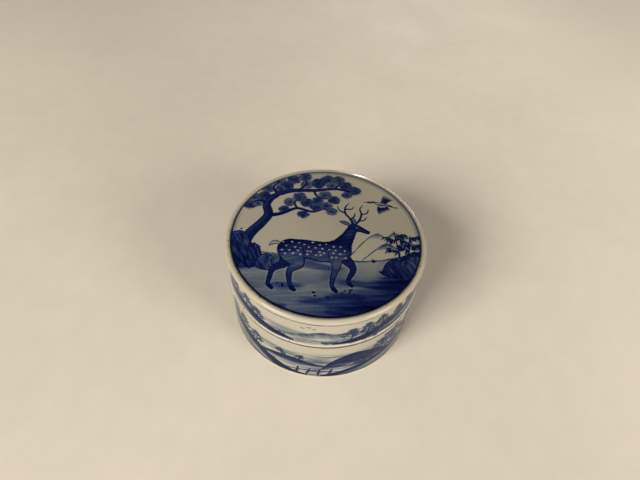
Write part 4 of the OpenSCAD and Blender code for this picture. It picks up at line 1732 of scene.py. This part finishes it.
class PORCELAIN_OT_plain_glaze(bpy.types.Operator):
    """Glaze the insides of the lid and of the box, and the recessed base"""

    bl_idname = "porcelain.plain_glaze"
    bl_label = "Plain glaze"

    def execute(self, context):
        size = context.scene.pot_sizes
        finish = context.scene.pot_finish
        material = glaze_material("inside_glaze", opaque(finish.glaze, 1.02), finish.wall_cobalt, 0.5)
        t = size.glaze_thickness
        layers = (
            ("lid", "lid_inside_glaze", lid_inside_section(size, 0), lid_inside_section(size, t)[::-1]),
            ("box", "box_inside_glaze", box_inside_section(size, t)[::-1], box_inside_section(size, 0)),
            ("box", "box_base_glaze", base_section(size, 0), base_section(size, t)[::-1]),
        )
        for body, name, first, second in layers:
            piece = turned(name, section(first, second, spacing=PLAIN_STEP), CLAY_STEPS, PHASE[body])
            finish_piece(piece, body, material)
        return {"FINISHED"}


def matrix_at(axes, place):
    """A matrix with these axes as columns, at this place."""
    matrix = np.eye(4)
    matrix[:3, :3] = axes
    matrix[:3, 3] = place
    return Matrix(matrix.tolist())


def level_side(way):
    """The level direction at right angles to a direction: z cross way, at length 1."""
    side = np.cross([0, 0, 1], way)
    return side / np.linalg.norm(side)


class PORCELAIN_OT_stage(bpy.types.Operator):
    """Set the pale table, the soft lamps, the room's light and the camera"""

    bl_idname = "porcelain.stage"
    bl_label = "Stage"

    def execute(self, context):
        scene = context.scene
        stage = scene.pot_stage
        top = scene.pot_sizes.top_height
        scene.view_settings.view_transform = "Standard"
        scene.world = self.room(stage)
        self.add_table(scene, stage.floor_color)
        middle = np.array([0, 0, top / 2])
        for name in ("key", "fill", "back", "spark", "sheen"):
            lamp = self.add_lamp(scene, name, stage, middle)
            lamp.visible_diffuse = name in ("key", "fill", "back")
            lamp.visible_glossy = name != "back"
        self.add_camera(scene, stage, top)
        return {"FINISHED"}

    def room(self, stage):
        """Dim even light. Only the camera and clear reflections see pale walls under a dim ceiling."""
        world = bpy.data.worlds.new("room")
        world.use_nodes = True
        tree = world.node_tree
        light = tree.nodes["Background"]
        light.inputs["Color"].default_value = opaque(stage.room_color)
        light.inputs["Strength"].default_value = stage.room_strength
        way = add_node(tree, "ShaderNodeTexCoord").outputs["Generated"]
        climb = range_node(tree, add_node(tree, "ShaderNodeSeparateXYZ", {0: way}).outputs["Z"], 0.35, 0.65)
        ceiling = opaque(stage.room_color, stage.room_strength)
        seen = mix_node(tree, climb, opaque(stage.backdrop_color), ceiling)
        walls = add_node(tree, "ShaderNodeBackground", {"Color": seen, "Strength": 1.0})
        path = add_node(tree, "ShaderNodeLightPath").outputs
        looks = math_node(tree, "MAXIMUM", path["Is Camera Ray"], path["Is Glossy Ray"])
        looks = math_node(tree, "MAXIMUM", looks, path["Is Transmission Ray"])
        both = add_node(tree, "ShaderNodeMixShader", {0: looks, 1: light.outputs[0], 2: walls.outputs[0]})
        connect(tree, tree.nodes["World Output"], {"Surface": both.outputs[0]})
        return world

    def add_table(self, scene, color):
        """The table top: a level grid of two by two squares."""
        line = np.linspace(-FLOOR_REACH, FLOOR_REACH, 3)
        x, y = np.meshgrid(line, line)
        points = np.column_stack([x.ravel(), y.ravel(), np.zeros(9)])
        quads = [(k, k + 1, k + 4, k + 3) for k in (0, 1, 3, 4)]
        mesh = bpy.data.meshes.new("table")
        mesh.from_pydata(points.tolist(), [], quads)
        mesh.materials.append(floor_material(color))
        table = bpy.data.objects.new("table", mesh)
        scene.collection.objects.link(table)

    def add_lamp(self, scene, name, stage, target):
        """A soft lamp that stands off from the target and is turned towards it."""
        turn = getattr(stage, name + "_turn")
        height = getattr(stage, name + "_height")
        level = math.cos(height)
        way = np.array([level * math.cos(turn), level * math.sin(turn), math.sin(height)])
        side = level_side(way)
        axes = np.column_stack([side, np.cross(way, side), way])
        data = bpy.data.lights.new(name + "_lamp", "AREA")
        data.color = LAMP_COLOR
        data.energy = getattr(stage, name + "_power")
        data.shape = "RECTANGLE"
        data.size = getattr(stage, name + "_width")
        data.size_y = getattr(stage, name + "_depth")
        lamp = bpy.data.objects.new(name + "_lamp", data)
        lamp.matrix_world = matrix_at(axes, target + getattr(stage, name + "_distance") * way)
        scene.collection.objects.link(lamp)
        return lamp

    def add_camera(self, scene, stage, top):
        """The camera, level with its own roll about the line of sight."""
        pitch = stage.camera_pitch
        yaw = stage.camera_yaw
        roll = stage.camera_roll
        level = math.cos(pitch)
        ahead = np.array([level * math.sin(yaw), level * math.cos(yaw), -math.sin(pitch)])
        right = -level_side(ahead)
        up = np.cross(right, ahead)
        across = math.cos(roll) * right + math.sin(roll) * up
        axes = np.column_stack([across, math.cos(roll) * up - math.sin(roll) * right, -ahead])
        distance = stage.camera_distance
        back = distance * math.cos(stage.camera_elevation)
        over = distance * math.sin(stage.camera_elevation)
        data = bpy.data.cameras.new("camera")
        data.sensor_fit = "HORIZONTAL"
        data.sensor_width = 36
        data.lens = data.sensor_width * stage.focal_share
        data.clip_start = 0.01
        camera = bpy.data.objects.new("camera", data)
        camera.matrix_world = matrix_at(axes, [0, -back, top + over])
        scene.collection.objects.link(camera)
        scene.camera = camera


class PORCELAIN_PT_panel(bpy.types.Panel):
    """Sizes, finishes and steps of the porcelain box"""

    bl_idname = "PORCELAIN_PT_panel"
    bl_label = "Porcelain Trinket Box"
    bl_space_type = "VIEW_3D"
    bl_region_type = "UI"
    bl_category = "Porcelain"

    def draw(self, context):
        scene = context.scene
        for group in (scene.pot_sizes, scene.pot_finish, scene.pot_stage):
            column = self.layout.column(align=True)
            for name in group.__annotations__:
                column.prop(group, name)
        for operator in STEPS:
            self.layout.operator(operator.bl_idname)


STEPS = (PORCELAIN_OT_clay, PORCELAIN_OT_painted_top, PORCELAIN_OT_painted_walls, PORCELAIN_OT_plain_glaze,
         PORCELAIN_OT_stage)
GROUPS = {"pot_sizes": PotSizes, "pot_finish": PotFinish, "pot_stage": PotStage}
CLASSES = (*GROUPS.values(), *STEPS, PORCELAIN_PT_panel)


def register():
    """Registers the classes and puts their values on the scene."""
    for cls in CLASSES:
        bpy.utils.register_class(cls)
    for name, cls in GROUPS.items():
        setattr(bpy.types.Scene, name, bpy.props.PointerProperty(type=cls))


def unregister():
    """Takes the values off the scene and unregisters the classes."""
    for name in GROUPS:
        delattr(bpy.types.Scene, name)
    for cls in reversed(CLASSES):
        bpy.utils.unregister_class(cls)


def main():
    """Builds the pot and its stage."""
    register()
    bpy.ops.porcelain.clay()
    bpy.ops.porcelain.painted_top()
    bpy.ops.porcelain.painted_walls()
    bpy.ops.porcelain.plain_glaze()
    bpy.ops.porcelain.stage()
    bpy.context.view_layer.update()


if __name__ == "__main__":
    main()
